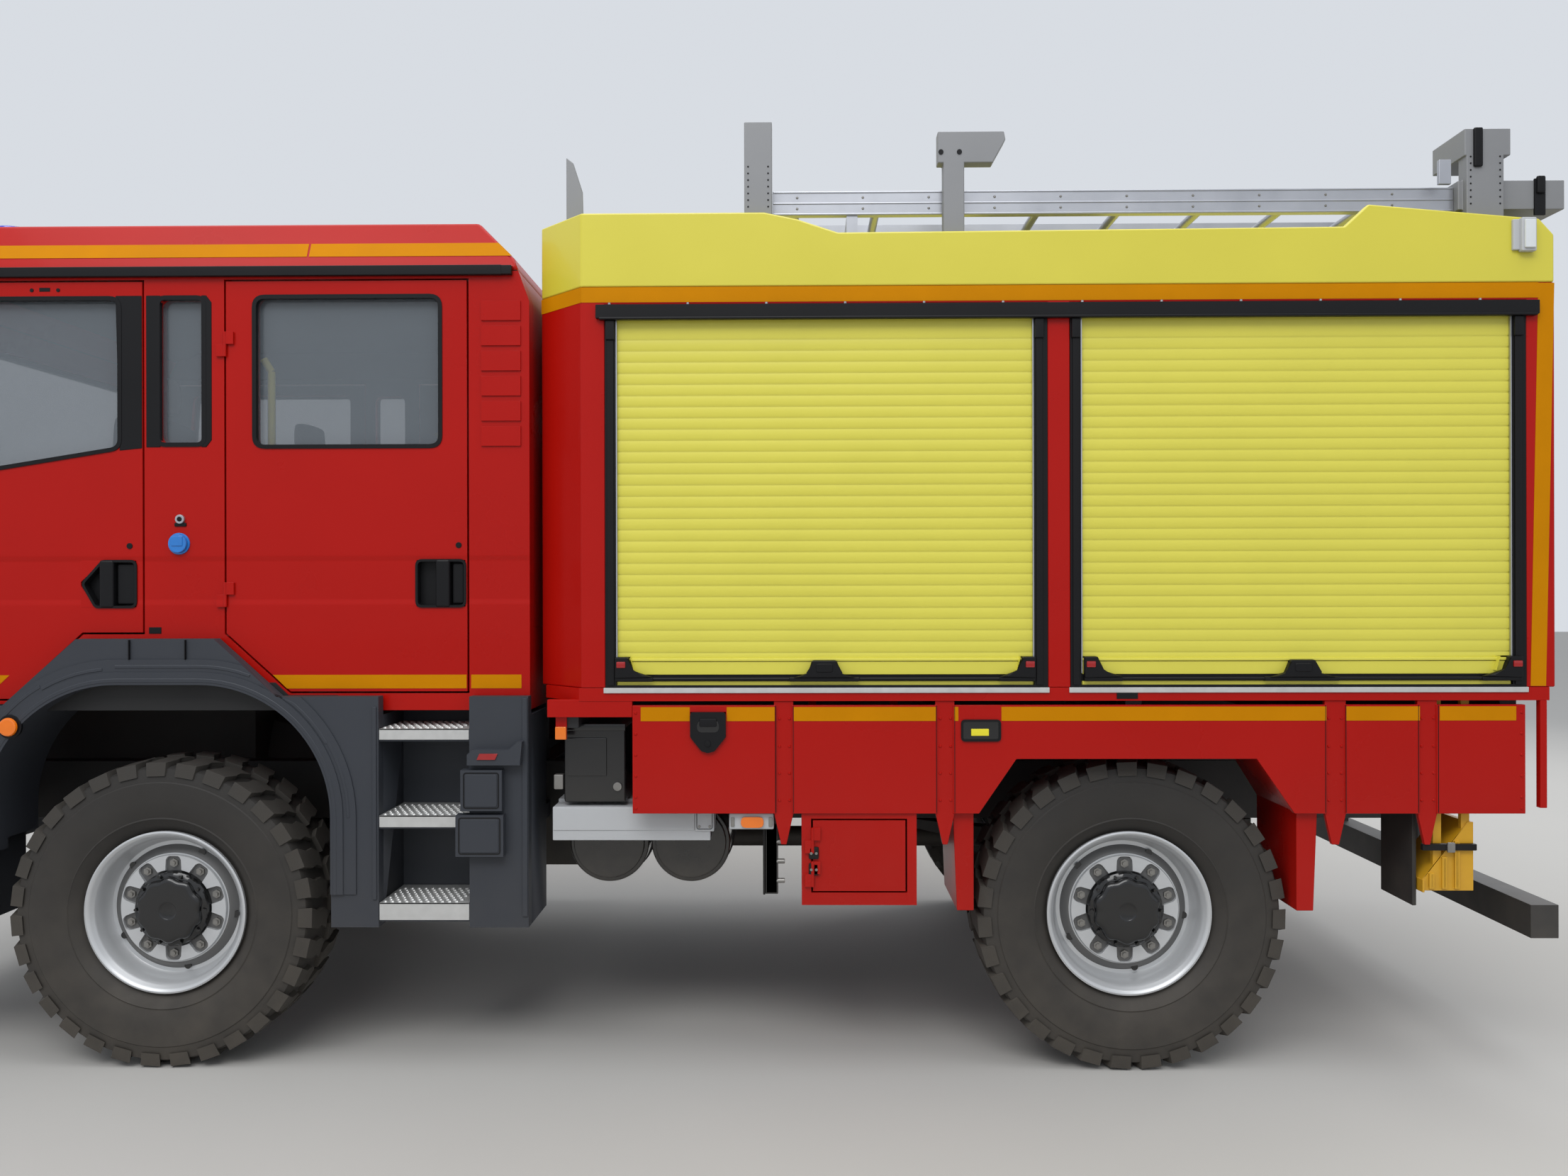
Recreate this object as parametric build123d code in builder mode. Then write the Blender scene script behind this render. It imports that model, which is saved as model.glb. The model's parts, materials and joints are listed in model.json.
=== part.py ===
from build123d import *
import os
from math import cos, pi, sin

# Rural water tender: crew cab, four wheels, water tank between two rows of lockers.
# Millimetres. X runs to the rear, -Y is the left side, Z is up. The origin is on the ground,
# under the middle of the overall length.

# Driving dimensions
WHEELBASE = 3525
FRONT_OVERHANG = 1465
REAR_OVERHANG = 1550
TYRE_R = 560
TYRE_W = 315
TRACK = 2060
RIM_R = 298
RIM_W = 250
RAIL_TOP = 1010
RAIL_H = 245
RAIL_HALF = 425
RAIL_FLANGE = 75
RAIL_GAUGE = 8
CAB_HALF = 1140
CAB_WALL = 60
CAB_FLOOR_Z = 1300
CAB_TOP = 3110
BODY_HALF = 1250
LEDGE_BOTTOM = 1342
LEDGE_TOP = 1389
SHUTTER_TOP = 2704
BAND_BOTTOM = 2820
SKIRT_BOTTOM = 941
GAP = 6
HINGE_R = 6
HINGE_OUT = 7
HINGE_H = 45
HINGE_SPLIT = 0.3

# Places worked out from them
FRONT_X = -(FRONT_OVERHANG + WHEELBASE + REAR_OVERHANG) / 2
FRONT_AXLE_X = FRONT_X + FRONT_OVERHANG
REAR_AXLE_X = FRONT_AXLE_X + WHEELBASE
REAR_X = REAR_AXLE_X + REAR_OVERHANG
AXLE_Z = TYRE_R
WHEEL_Y = TRACK / 2
RAIL_BOTTOM = RAIL_TOP - RAIL_H
WEB_IN = RAIL_HALF - RAIL_GAUGE

os.makedirs("parts", exist_ok=True)


def save(part, name):
    """Label a finished piece and write it."""
    part.label = name
    export_step(part, f"parts/{name}.step")


def block(x, y, z, mode=Mode.ADD):
    """A rectangular block given by its low and high value along each axis."""
    with Locations(((x[0] + x[1]) / 2, (y[0] + y[1]) / 2, (z[0] + z[1]) / 2)):
        Box(x[1] - x[0], y[1] - y[0], z[1] - z[0], mode=mode)


def slab(x, y, z):
    """A block that stays a solid of its own."""
    middle = ((x[0] + x[1]) / 2, (y[0] + y[1]) / 2, (z[0] + z[1]) / 2)
    return Location(middle) * Box(x[1] - x[0], y[1] - y[0], z[1] - z[0])


def mirrored(parts):
    """The same pieces again on the other side of the truck."""
    return [mirror(part, about=Plane.XZ) for part in parts]


def gather(parts):
    """One piece made of solids that touch face to face."""
    return Compound(children=[solid for part in parts for solid in part.solids()])


def both(x, y, z, mode=Mode.ADD):
    """The same block on the left and on the right, y counted outwards from the middle."""
    block(x, (-y[1], -y[0]), z, mode)
    block(x, y, z, mode)


def rod(start, end, radius, mode=Mode.ADD):
    """A round bar from one point to another."""
    path = Vector(*end) - Vector(*start)
    with BuildSketch(Plane(origin=start, z_dir=path)) as section:
        Circle(radius)
    extrude(section.sketch, amount=path.length, mode=mode)


def side_plate(points, y_in, y_out, mode=Mode.ADD):
    """A flat outline in X and Z on the left side, from y_in out to y_out."""
    with BuildSketch(Plane.XZ.offset(y_in)) as outline:
        with BuildLine():
            Polyline(*points, close=True)
        make_face()
    extrude(outline.sketch, amount=y_out - y_in, mode=mode)


def window_cut(points, y_in, y_out, corner, mode=Mode.ADD):
    """A side window's outline with rounded corners, from y_in out to y_out."""
    with BuildSketch(Plane.XZ.offset(y_in)) as outline:
        with BuildLine():
            Polyline(*points, close=True)
        make_face()
        fillet(outline.vertices(), corner)
    extrude(outline.sketch, amount=y_out - y_in, mode=mode)


def banjo(axle_x, radius):
    """The round housing in the middle of an axle tube, turned about it."""
    with BuildSketch(Plane(origin=(axle_x, 0, AXLE_Z), x_dir=(1, 0, 0), z_dir=(0, 0, 1))) as section:
        with BuildLine():
            Polyline(
                (0, -radius - 20), (70, -radius - 20), (0.8 * radius, -0.6 * radius), (radius, -0.3 * radius),
                (radius, 0.3 * radius), (0.8 * radius, 0.6 * radius), (70, radius + 20), (0, radius + 20), close=True,
            )
        make_face()
    revolve(section.sketch, axis=Axis((axle_x, 0, AXLE_Z), (0, 1, 0)))


def hinge_knuckle(x, skin, z, reach, side=-1):
    """A short barrel standing on z just outside a side skin, with a leaf along the skin."""
    y = side * (skin + HINGE_OUT)
    rod((x, y, z), (x, y, z + HINGE_H), HINGE_R)
    leaf = (side * (skin + HINGE_OUT + 3), side * (skin - 1))
    block(sorted((x, x + reach)), sorted(leaf), (z, z + HINGE_H))


# Frame: two C rails, tubes across, pivots for the cab at the front and rests behind it
RAIL_FRONT = FRONT_X + 90
RAIL_REAR = REAR_X - 130
CAB_PIVOT = (FRONT_X + 100, 1060)
CAB_PIN_R = 18
CAB_EAR = (400, 440)
CAB_REST_X = (-640, -560)
CROSS_TUBES = (-3060, -590, 330, 1180, 2260, 3060)

with BuildPart() as rail:
    with BuildSketch(Plane.YZ.offset(RAIL_FRONT)):
        with Locations((-RAIL_HALF + RAIL_FLANGE / 2, RAIL_TOP - RAIL_H / 2)):
            Rectangle(RAIL_FLANGE, RAIL_H)
        with Locations((-WEB_IN + RAIL_FLANGE / 2, RAIL_TOP - RAIL_H / 2)):
            Rectangle(RAIL_FLANGE, RAIL_H - 2 * RAIL_GAUGE, mode=Mode.SUBTRACT)
    extrude(amount=RAIL_REAR - RAIL_FRONT)
with BuildPart() as cab_pin:
    rod(
        (CAB_PIVOT[0], -CAB_EAR[0] + GAP, CAB_PIVOT[1]),
        (CAB_PIVOT[0], -CAB_EAR[1] - GAP, CAB_PIVOT[1]),
        CAB_PIN_R,
    )
left_frame = [
    rail.part,
    cab_pin.part,
    slab((RAIL_FRONT, CAB_PIVOT[0] + 60), (-CAB_EAR[0] + GAP, -350), (RAIL_TOP, CAB_PIVOT[1] + 40)),
    slab(CAB_REST_X, (-423, -352), (RAIL_TOP, CAB_FLOOR_Z - 0.3)),
]
crossings = [
    slab((x - 45, x + 45), (-WEB_IN, WEB_IN), (RAIL_TOP - 50, RAIL_TOP - RAIL_GAUGE)) for x in CROSS_TUBES
]
save(gather([*left_frame, *mirrored(left_frame), *crossings]), "frame_rails")

# Engine: one plain block on two side mounts
ENGINE_X = (-2950, -1850)
ENGINE_HALF = 330
with BuildPart() as engine_block:
    block(ENGINE_X, (-ENGINE_HALF, ENGINE_HALF), (800, 1480))
    both((-2560, -2440), (ENGINE_HALF - 5, WEB_IN), (860, 940))
save(engine_block.part, "engine_block")

# Driveline: gearbox behind the engine, transfer case under a cross-member, shafts to both axles
SHAFT_Z = 600
SHAFT_R = 45
DIFF_NOSE = 250
TRANSFER_X = (-760, -420)
GEARBOX_END = ENGINE_X[1] + 650
with BuildPart() as gearbox:
    with BuildSketch(Plane.YZ.offset(ENGINE_X[1])):
        with Locations((0, 1000)):
            RegularPolygon(220, 8)
    with BuildSketch(Plane.YZ.offset(GEARBOX_END)):
        with Locations((0, 880)):
            RegularPolygon(140, 8)
    loft()
SHAFTS = (  # start, end, height
    (GEARBOX_END, TRANSFER_X[0], 850),
    (FRONT_AXLE_X + DIFF_NOSE, TRANSFER_X[0], SHAFT_Z),
    (TRANSFER_X[1], REAR_AXLE_X - DIFF_NOSE, SHAFT_Z),
)
shafts = []
for start, end, height in SHAFTS:
    with BuildPart() as shaft:
        rod((start, 0, height), (end, 0, height), SHAFT_R)
    shafts.append(shaft.part)
transfer_case = slab(TRANSFER_X, (-190, 190), (SHAFT_Z - 90, RAIL_TOP - 50))
save(gather([gearbox.part, transfer_case, *shafts]), "driveline")

# Axles. The wheels run on spindles; the front ones are carried by the knuckles.
AXLE_TUBE_R = 80
SPINDLE_R = 50
BACKPLATE_R = 195
SPRING_SEAT = AXLE_Z + AXLE_TUBE_R
HUB_IN = WHEEL_Y - 105
HUB_OUT = WHEEL_Y + 50
KINGPIN_Y = 830
KINGPIN_R = 25
KNUCKLE_H = 105
EYE_GAP = 0.8

with BuildPart() as rear_axle:
    rod((REAR_AXLE_X, -HUB_IN + 25, AXLE_Z), (REAR_AXLE_X, HUB_IN - 25, AXLE_Z), AXLE_TUBE_R)
    rod((REAR_AXLE_X, -HUB_OUT, AXLE_Z), (REAR_AXLE_X, HUB_OUT, AXLE_Z), SPINDLE_R)
    banjo(REAR_AXLE_X, 210)
    rod((REAR_AXLE_X - DIFF_NOSE, 0, SHAFT_Z), (REAR_AXLE_X, 0, SHAFT_Z), 95)
    for side in (-1, 1):
        rod((REAR_AXLE_X, side * (HUB_IN - 40), AXLE_Z), (REAR_AXLE_X, side * (HUB_IN - 25), AXLE_Z), BACKPLATE_R)
    both((REAR_AXLE_X - 60, REAR_AXLE_X + 60), (352, 423), (AXLE_Z, SPRING_SEAT))
save(rear_axle.part, "rear_axle")

with BuildPart() as front_axle:
    rod((FRONT_AXLE_X, -KINGPIN_Y + 90, AXLE_Z), (FRONT_AXLE_X, KINGPIN_Y - 90, AXLE_Z), 70)
    banjo(FRONT_AXLE_X, 185)
    rod((FRONT_AXLE_X, 0, SHAFT_Z), (FRONT_AXLE_X + DIFF_NOSE, 0, SHAFT_Z), 90)
    both((FRONT_AXLE_X - 55, FRONT_AXLE_X + 55), (KINGPIN_Y - 105, KINGPIN_Y - 65), (AXLE_Z - 150, AXLE_Z + 150))
    both((FRONT_AXLE_X - 45, FRONT_AXLE_X + 45), (KINGPIN_Y - 70, KINGPIN_Y + 40), (AXLE_Z + KNUCKLE_H + 5, AXLE_Z + 150))
    both((FRONT_AXLE_X - 45, FRONT_AXLE_X + 45), (KINGPIN_Y - 70, KINGPIN_Y + 40), (AXLE_Z - 150, AXLE_Z - KNUCKLE_H - 5))
    for side in (-1, 1):
        rod(
            (FRONT_AXLE_X, side * KINGPIN_Y, AXLE_Z - 160),
            (FRONT_AXLE_X, side * KINGPIN_Y, AXLE_Z + 160),
            KINGPIN_R + EYE_GAP,
            Mode.SUBTRACT,
        )
    both((FRONT_AXLE_X - 60, FRONT_AXLE_X + 60), (352, 423), (AXLE_Z, SPRING_SEAT))
save(front_axle.part, "front_axle")

# Leaf springs: arched packs between the axle seats and the underside of the rails
SPRING_HALF = 720
SPRING_PACK = 70
with BuildPart() as leaf_springs:
    for axle_x in (FRONT_AXLE_X, REAR_AXLE_X):
        with BuildSketch(Plane.XZ.offset(352)):
            with BuildLine():
                low = ThreePointArc(
                    (axle_x - SPRING_HALF, RAIL_BOTTOM - 40), (axle_x, SPRING_SEAT), (axle_x + SPRING_HALF, RAIL_BOTTOM - 40)
                )
                high = ThreePointArc(
                    (axle_x - SPRING_HALF, RAIL_BOTTOM), (axle_x, SPRING_SEAT + SPRING_PACK), (axle_x + SPRING_HALF, RAIL_BOTTOM)
                )
                Line(low @ 0, high @ 0)
                Line(low @ 1, high @ 1)
            make_face()
        extrude(amount=71)
    mirror(about=Plane.XZ)
save(leaf_springs.part, "leaf_springs")

# Knuckles: block on the kingpin, spindle for the wheel, arm to the tie rod
ARM_LENGTH = 230
ARM_Z = AXLE_Z - 85
TIE_PIN_R = 12
with BuildPart() as knuckle:
    rod((FRONT_AXLE_X, -KINGPIN_Y, AXLE_Z - KNUCKLE_H), (FRONT_AXLE_X, -KINGPIN_Y, AXLE_Z + KNUCKLE_H), 55)
    rod((FRONT_AXLE_X, -KINGPIN_Y, AXLE_Z - 148), (FRONT_AXLE_X, -KINGPIN_Y, AXLE_Z + 148), KINGPIN_R)
    rod((FRONT_AXLE_X, -KINGPIN_Y, AXLE_Z), (FRONT_AXLE_X, -HUB_OUT, AXLE_Z), SPINDLE_R)
    rod((FRONT_AXLE_X, -HUB_IN + 25, AXLE_Z), (FRONT_AXLE_X, -HUB_IN + 12, AXLE_Z), BACKPLATE_R)
    block((FRONT_AXLE_X, FRONT_AXLE_X + ARM_LENGTH + 25), (-KINGPIN_Y - 14, -KINGPIN_Y + 14), (ARM_Z - 14, ARM_Z + 14))
    rod((FRONT_AXLE_X + ARM_LENGTH, -KINGPIN_Y, ARM_Z - 60), (FRONT_AXLE_X + ARM_LENGTH, -KINGPIN_Y, ARM_Z), TIE_PIN_R)
save(knuckle.part, "knuckle_left")
save(mirror(knuckle.part, about=Plane.XZ), "knuckle_right")

# Tie rod: one bar with an eye round each arm's pin, under the arms
TIE_Z = ARM_Z - 38
with BuildPart() as tie_rod:
    tie_x = FRONT_AXLE_X + ARM_LENGTH
    rod((tie_x, -KINGPIN_Y, TIE_Z), (tie_x, KINGPIN_Y, TIE_Z), 14)
    for side in (-1, 1):
        rod((tie_x, side * KINGPIN_Y, TIE_Z - 16), (tie_x, side * KINGPIN_Y, TIE_Z + 16), 30)
    for side in (-1, 1):
        rod((tie_x, side * KINGPIN_Y, TIE_Z - 30), (tie_x, side * KINGPIN_Y, TIE_Z + 30), TIE_PIN_R + EYE_GAP, Mode.SUBTRACT)
save(tie_rod.part, "tie_rod")

# Wheels: drop-centre rim with its disc and hub, and a tyre seated on it
HUB_BORE = SPINDLE_R + EYE_GAP
STUD_PCD = 335
WHEELS = (  # name, axle place, side
    ("front_left", FRONT_AXLE_X, -1),
    ("front_right", FRONT_AXLE_X, 1),
    ("rear_left", REAR_AXLE_X, -1),
    ("rear_right", REAR_AXLE_X, 1),
)
NUTS = 10
HAND_HOLES = 5
LUGS = 31
GROOVE_R = TYRE_R - 26
CARCASS_R = TYRE_R - 30
BEAD_R = RIM_R - 14.5
BEAD_Y = 113
TREAD_HALF = 150
CENTRE_GROOVE = 6
SIDEWALL_R = 455
BEAD_TOP_R = RIM_R + 2
TREAD_RINGS = (  # inner edge, outer edge, turn of the lugs as a share of their pitch
    (-TREAD_HALF, -CENTRE_GROOVE, 0),
    (CENTRE_GROOVE, TREAD_HALF, 0.5),
)


def tread_outline(phase):
    """Corners round the tyre: a flat lug top, then a notch, once for each lug."""
    corners = []
    for lug in range(LUGS):
        for share, radius in ((0, TYRE_R), (0.66, TYRE_R), (0.83, GROOVE_R)):
            turn = 2 * pi * (lug + share + phase) / LUGS
            corners.append((radius * cos(turn), radius * sin(turn)))
    return corners


with BuildPart() as rim:
    with BuildSketch(Plane.XY):  # local x is the radius, local y runs outwards along the axle
        with BuildLine():
            Polyline(
                (RIM_R, RIM_W / 2), (RIM_R, BEAD_Y), (282, BEAD_Y), (278, 45), (253, 25), (253, -45), (278, -65),
                (282, -BEAD_Y), (RIM_R, -BEAD_Y), (RIM_R, -RIM_W / 2), (286, -RIM_W / 2), (243, -55),
                (243, 14), (205, 40), (105, 40), (105, -95), (HUB_BORE, -95), (HUB_BORE, 60), (0, 60),
                (0, 104), (108, 104), (136, 62), (200, 62), (232, 34), (250, 34), (270, 112),
                (286, RIM_W / 2), close=True,
            )
        make_face()
    revolve(axis=Axis.Y)
    with BuildSketch(Plane.XZ.offset(-60)):  # scalloped face round the nuts
        Circle(199)
        Circle(130, mode=Mode.SUBTRACT)
        with PolarLocations(STUD_PCD / 2, NUTS):
            RegularPolygon(27, 8, mode=Mode.SUBTRACT)
        with PolarLocations(STUD_PCD / 2 - 24, NUTS):
            Rectangle(48, 50, mode=Mode.SUBTRACT)
    extrude(amount=-11)
    with BuildSketch(Plane.XZ.offset(-60)):
        with PolarLocations(STUD_PCD / 2, NUTS):
            RegularPolygon(15, 6)
    extrude(amount=-26)
    with BuildSketch(Plane.XZ):
        with PolarLocations(224, HAND_HOLES, start_angle=54):
            RegularPolygon(13, 8)
    extrude(amount=-80, mode=Mode.SUBTRACT)
with BuildPart() as tyre:
    with BuildSketch(Plane.XZ.offset(-TYRE_W / 2)):
        RegularPolygon(CARCASS_R, LUGS)
        RegularPolygon(BEAD_TOP_R, LUGS, mode=Mode.SUBTRACT)
    extrude(amount=TYRE_W)
    shoulder = TYRE_W / 2 - TREAD_HALF
    for side_face in tyre.faces().sort_by(Axis.Y)[::len(tyre.faces()) - 1]:
        chamfer(side_face.outer_wire().edges(), CARCASS_R - SIDEWALL_R, shoulder, reference=side_face)
    for side_face in tyre.faces().sort_by(Axis.Y)[::len(tyre.faces()) - 1]:
        rise = SIDEWALL_R - BEAD_TOP_R - 4
        chamfer(side_face.inner_wires().edges(), rise, TYRE_W / 2 - BEAD_Y, reference=side_face)
    for edge_in, edge_out, phase in TREAD_RINGS:
        with BuildSketch(Plane.XZ.offset(-edge_in)):
            with BuildLine():
                Polyline(*tread_outline(phase), close=True)
            make_face()
            RegularPolygon(CARCASS_R - 5, LUGS, mode=Mode.SUBTRACT)
        extrude(amount=edge_in - edge_out)
    with BuildSketch(Plane.XZ.offset(-BEAD_Y)):
        RegularPolygon(BEAD_TOP_R, LUGS)
        RegularPolygon(BEAD_R, LUGS, major_radius=False, mode=Mode.SUBTRACT)
    extrude(amount=2 * BEAD_Y)
for name, axle_x, side in WHEELS:
    hub = Plane(origin=(axle_x, side * WHEEL_Y, AXLE_Z), x_dir=(1, 0, 0), z_dir=(0, 0, side))
    save(hub.location * rim.part, f"rim_{name}")
    save(hub.location * tyre.part, f"tyre_{name}")

# Bumper: a U in plan with lamp pockets, on the ends of the rails
BUMPER_Z = (560, 1040)
BUMPER_WALL = 50
BUMPER_REAR = FRONT_X + 260
LAMP_Y = (800, 1040)
JAW_R = 20.5
FRONT_JAW_Z = (620, 740)
LAMP_Z = (700, 890)
with BuildPart() as front_bumper:
    with BuildSketch(Plane.XY.offset(BUMPER_Z[0])):
        with BuildLine():
            Polyline(
                (FRONT_X, -1060), (FRONT_X + 130, -1235), (BUMPER_REAR, -1235), (BUMPER_REAR, -1235 + BUMPER_WALL),
                (FRONT_X + 150, -1235 + BUMPER_WALL), (FRONT_X + BUMPER_WALL, -1040), (FRONT_X + BUMPER_WALL, 1040),
                (FRONT_X + 150, 1235 - BUMPER_WALL), (BUMPER_REAR, 1235 - BUMPER_WALL), (BUMPER_REAR, 1235),
                (FRONT_X + 130, 1235), (FRONT_X, 1060), close=True,
            )
        make_face()
    extrude(amount=BUMPER_Z[1] - BUMPER_Z[0])
    both((FRONT_X - 1, FRONT_X + 45), LAMP_Y, LAMP_Z, Mode.SUBTRACT)
    both((FRONT_X + BUMPER_WALL - 1, RAIL_FRONT), (RAIL_HALF - RAIL_FLANGE, RAIL_HALF), (RAIL_BOTTOM + 10, RAIL_TOP - 95))
    block((FRONT_X - 1, FRONT_X + BUMPER_WALL + 1), (-110, 110), (BUMPER_Z[0] - 1, 760), Mode.SUBTRACT)
    block((FRONT_X + BUMPER_WALL - 1, FRONT_X + 80), (-200, 200), (625, 800))
    block((FRONT_X, FRONT_X + 60), (-90, 90), FRONT_JAW_Z)
    block((FRONT_X - 1, FRONT_X + 62), (-91, 91), (FRONT_JAW_Z[0] + 30, FRONT_JAW_Z[1] - 30), Mode.SUBTRACT)
    rod((FRONT_X + 32, 0, BUMPER_Z[0]), (FRONT_X + 32, 0, FRONT_JAW_Z[1] + 1), JAW_R, Mode.SUBTRACT)
save(front_bumper.part, "front_bumper")

# Step unit: front wing with its arch, a step housing before the wheel and one behind it
WING_SKIN = (CAB_HALF + 10, 1200)
ARCH_HALF = 632
ARCH_TOP = 1399
ARCH_CORNER = 480
STEER_ROOM = 676
LINER = 18
UNIT_IN = 900
UNIT_BACK = 930
UNIT_TOP = 1285
STEP_BOTTOM = 520
TREAD_OUT = WING_SKIN[1] - 6
WING_OUTLINE = (
    (-3000, STEP_BOTTOM), (-3000, 1325), (-2373, 1325), (-2104, 1565), (-1600, 1565), (-1367, 1355),
    (-456, 1355), (-456, STEP_BOTTOM),
)
STEP_ROOMS = ((-2960, -2520), (-1000, -670))  # the recess before the wheel and the one behind it
STEP_WALLS = ((-3000, -2960), (-2520, -2485), (-1040, -1000), (-670, -456))
TREAD_Z = ((1193, 1234), (876, 920), (540, 604))
COLUMN_BOXES = (((-692, -543), (948, 1094)), ((-710, -538), (784, 933)))
ARM_X = ((-2900, -2840), (-600, -540))
LIP_FOOT = 640
WING_FOOT = (WING_OUTLINE[0], (-3000, LIP_FOOT + 1), (-456, LIP_FOOT + 1), WING_OUTLINE[-1])
LIPS = ((92, 1205), (46, 1209))  # how far a lip stands back from the arch, how far out it reaches
COLUMN_HEAD = (
    (-668, 1112), (-668, 1150), (-650, 1166), (-520, 1166), (-486, 1196), (-470, 1196), (-478, 1112),
)


def arch_face(grow):
    """The wheel arch as a high rectangle with rounded upper corners."""
    with Locations((FRONT_AXLE_X, (ARCH_TOP + grow + 300) / 2)):
        Rectangle(2 * (ARCH_HALF + grow), ARCH_TOP + grow - 300)
    fillet(vertices().group_by(Axis.Y)[-1], ARCH_CORNER + grow)


with BuildPart() as arch_room:
    with BuildSketch(Plane.XZ.offset(UNIT_IN - 10)):
        arch_face(0)
    extrude(amount=WING_SKIN[1] - UNIT_IN + 20)
with BuildPart() as wing:
    side_plate(WING_OUTLINE, *WING_SKIN)
    for grow, reach in LIPS:
        with BuildSketch(Plane.XZ.offset(WING_SKIN[0] + 5)):
            arch_face(grow)
        extrude(amount=reach - WING_SKIN[0] - 5)
    block((-3100, -400), (-WING_SKIN[1] - 20, -WING_SKIN[0]), (0, LIP_FOOT), Mode.SUBTRACT)
    side_plate(WING_FOOT, *WING_SKIN)
    side_plate(WING_OUTLINE, WING_SKIN[0], LIPS[-1][1], Mode.INTERSECT)
    add(arch_room.part, mode=Mode.SUBTRACT)
    for room in STEP_ROOMS:
        block(room, (-WING_SKIN[1] - 5, -WING_SKIN[0] + 5), (STEP_BOTTOM - 5, UNIT_TOP + 100), Mode.SUBTRACT)
    for x, z in COLUMN_BOXES:
        block(x, (-WING_SKIN[1] - 38, -WING_SKIN[1] + 5), z)
    side_plate(COLUMN_HEAD, WING_SKIN[1] - 5, WING_SKIN[1] + 40)
with BuildPart() as arch_liner:
    with BuildSketch(Plane.XZ.offset(UNIT_IN)):
        arch_face(LINER)
    extrude(amount=WING_SKIN[0] - UNIT_IN)
    add(arch_room.part, mode=Mode.SUBTRACT)
    block(  # room for the steered tyre behind the skin
        (FRONT_AXLE_X - STEER_ROOM, FRONT_AXLE_X + STEER_ROOM), (-1075, -UNIT_IN + 10),
        (0, AXLE_Z + 260), Mode.SUBTRACT,
    )
    block((FRONT_AXLE_X - STEER_ROOM, FRONT_AXLE_X + STEER_ROOM), (-WING_SKIN[1], -UNIT_IN), (0, 780), Mode.SUBTRACT)
# The wing is in three lengths, joined where its upper edge turns
unit = [arch_liner.part]
rest = wing.part
for seam in (WING_OUTLINE[2][0], WING_OUTLINE[5][0]):
    unit.append(split(rest, Plane.YZ.offset(seam), keep=Keep.BOTTOM))
    rest = split(rest, Plane.YZ.offset(seam), keep=Keep.TOP)
unit.append(rest)
for wall in STEP_WALLS:
    unit.append(slab(wall, (-WING_SKIN[0], -UNIT_IN), (STEP_BOTTOM, UNIT_TOP)))
for room in STEP_ROOMS:
    unit.append(slab(room, (-UNIT_BACK, -UNIT_IN), (STEP_BOTTOM, UNIT_TOP)))
    for tread in TREAD_Z:
        unit.append(slab(room, (-TREAD_OUT, -UNIT_BACK), tread))
for arm in ARM_X:
    unit.append(slab(arm, (-UNIT_IN, -RAIL_HALF), (780, 840)))
save(gather(unit), "step_unit_left")
save(gather(mirrored(unit)), "step_unit_right")

# Cab: outer side profile, hollowed, with wheelhouses in the floor, doors and windows cut out
CAB_FRONT = FRONT_X + 55
CAB_REAR = -463
CAB_PROFILE = (
    (CAB_FRONT, CAB_FLOOR_Z), (CAB_FRONT, 1900), (CAB_FRONT + 130, 2860), (CAB_FRONT + 220, 3050),
    (CAB_FRONT + 380, CAB_TOP), (-667, CAB_TOP), (-521, 2960), (CAB_REAR, 2800), (CAB_REAR, CAB_FLOOR_Z),
)
CAB_INNER = (
    (CAB_FRONT + CAB_WALL, CAB_FLOOR_Z + CAB_WALL), (CAB_FRONT + CAB_WALL, 1890),
    (CAB_FRONT + 190, 2850), (CAB_FRONT + 270, 3010), (CAB_FRONT + 400, CAB_TOP - 50), (-690, CAB_TOP - 50),
    (-575, 2930), (CAB_REAR - CAB_WALL, 2790), (CAB_REAR - CAB_WALL, CAB_FLOOR_Z + CAB_WALL),
)
WHEELHOUSE = ((-2335, CAB_FLOOR_Z - 1), (-2134, 1480), (-1522, 1480), (-1322, CAB_FLOOR_Z - 1))
WHEELHOUSE_WALL = ((-2415, CAB_FLOOR_Z), (-2160, 1540), (-1490, 1540), (-1235, CAB_FLOOR_Z))
WHEELHOUSE_IN = 860
TUNNEL = ((CAB_FRONT, -1790), 400, 1540)
SILL = 1362
FRONT_DOOR = ((-3020, 1400), (-3020, 2884), (-1884, 2884), (-1884, 1580), (-2112, 1580), (-2384, 1336), (-2950, 1336))
REAR_DOOR = ((-1588, 1580), (-1588, 2884), (-686, 2884), (-686, SILL), (-1347, SILL))
FRONT_WINDOW = ((-2900, 2130), (-2850, 2822), (-1970, 2822), (-1970, 2261), (-2420, 2189))
REAR_WINDOW = ((-1481, 2264), (-1481, 2824), (-786, 2824), (-786, 2264))
DOOR_HINGES = ((FRONT_DOOR[0][0] + GAP, (1560, 2500)), (REAR_DOOR[0][0] + GAP, (1680, 2600)))
WINDOW_CORNER = 35
MID_WINDOW = ((-1830, 2280), (-1830, 2815), (-1665, 2815), (-1665, 2280))
RIBS = 6
RIB_X = (-639, -494)
RIB_Z = (2268, 2820)
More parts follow.
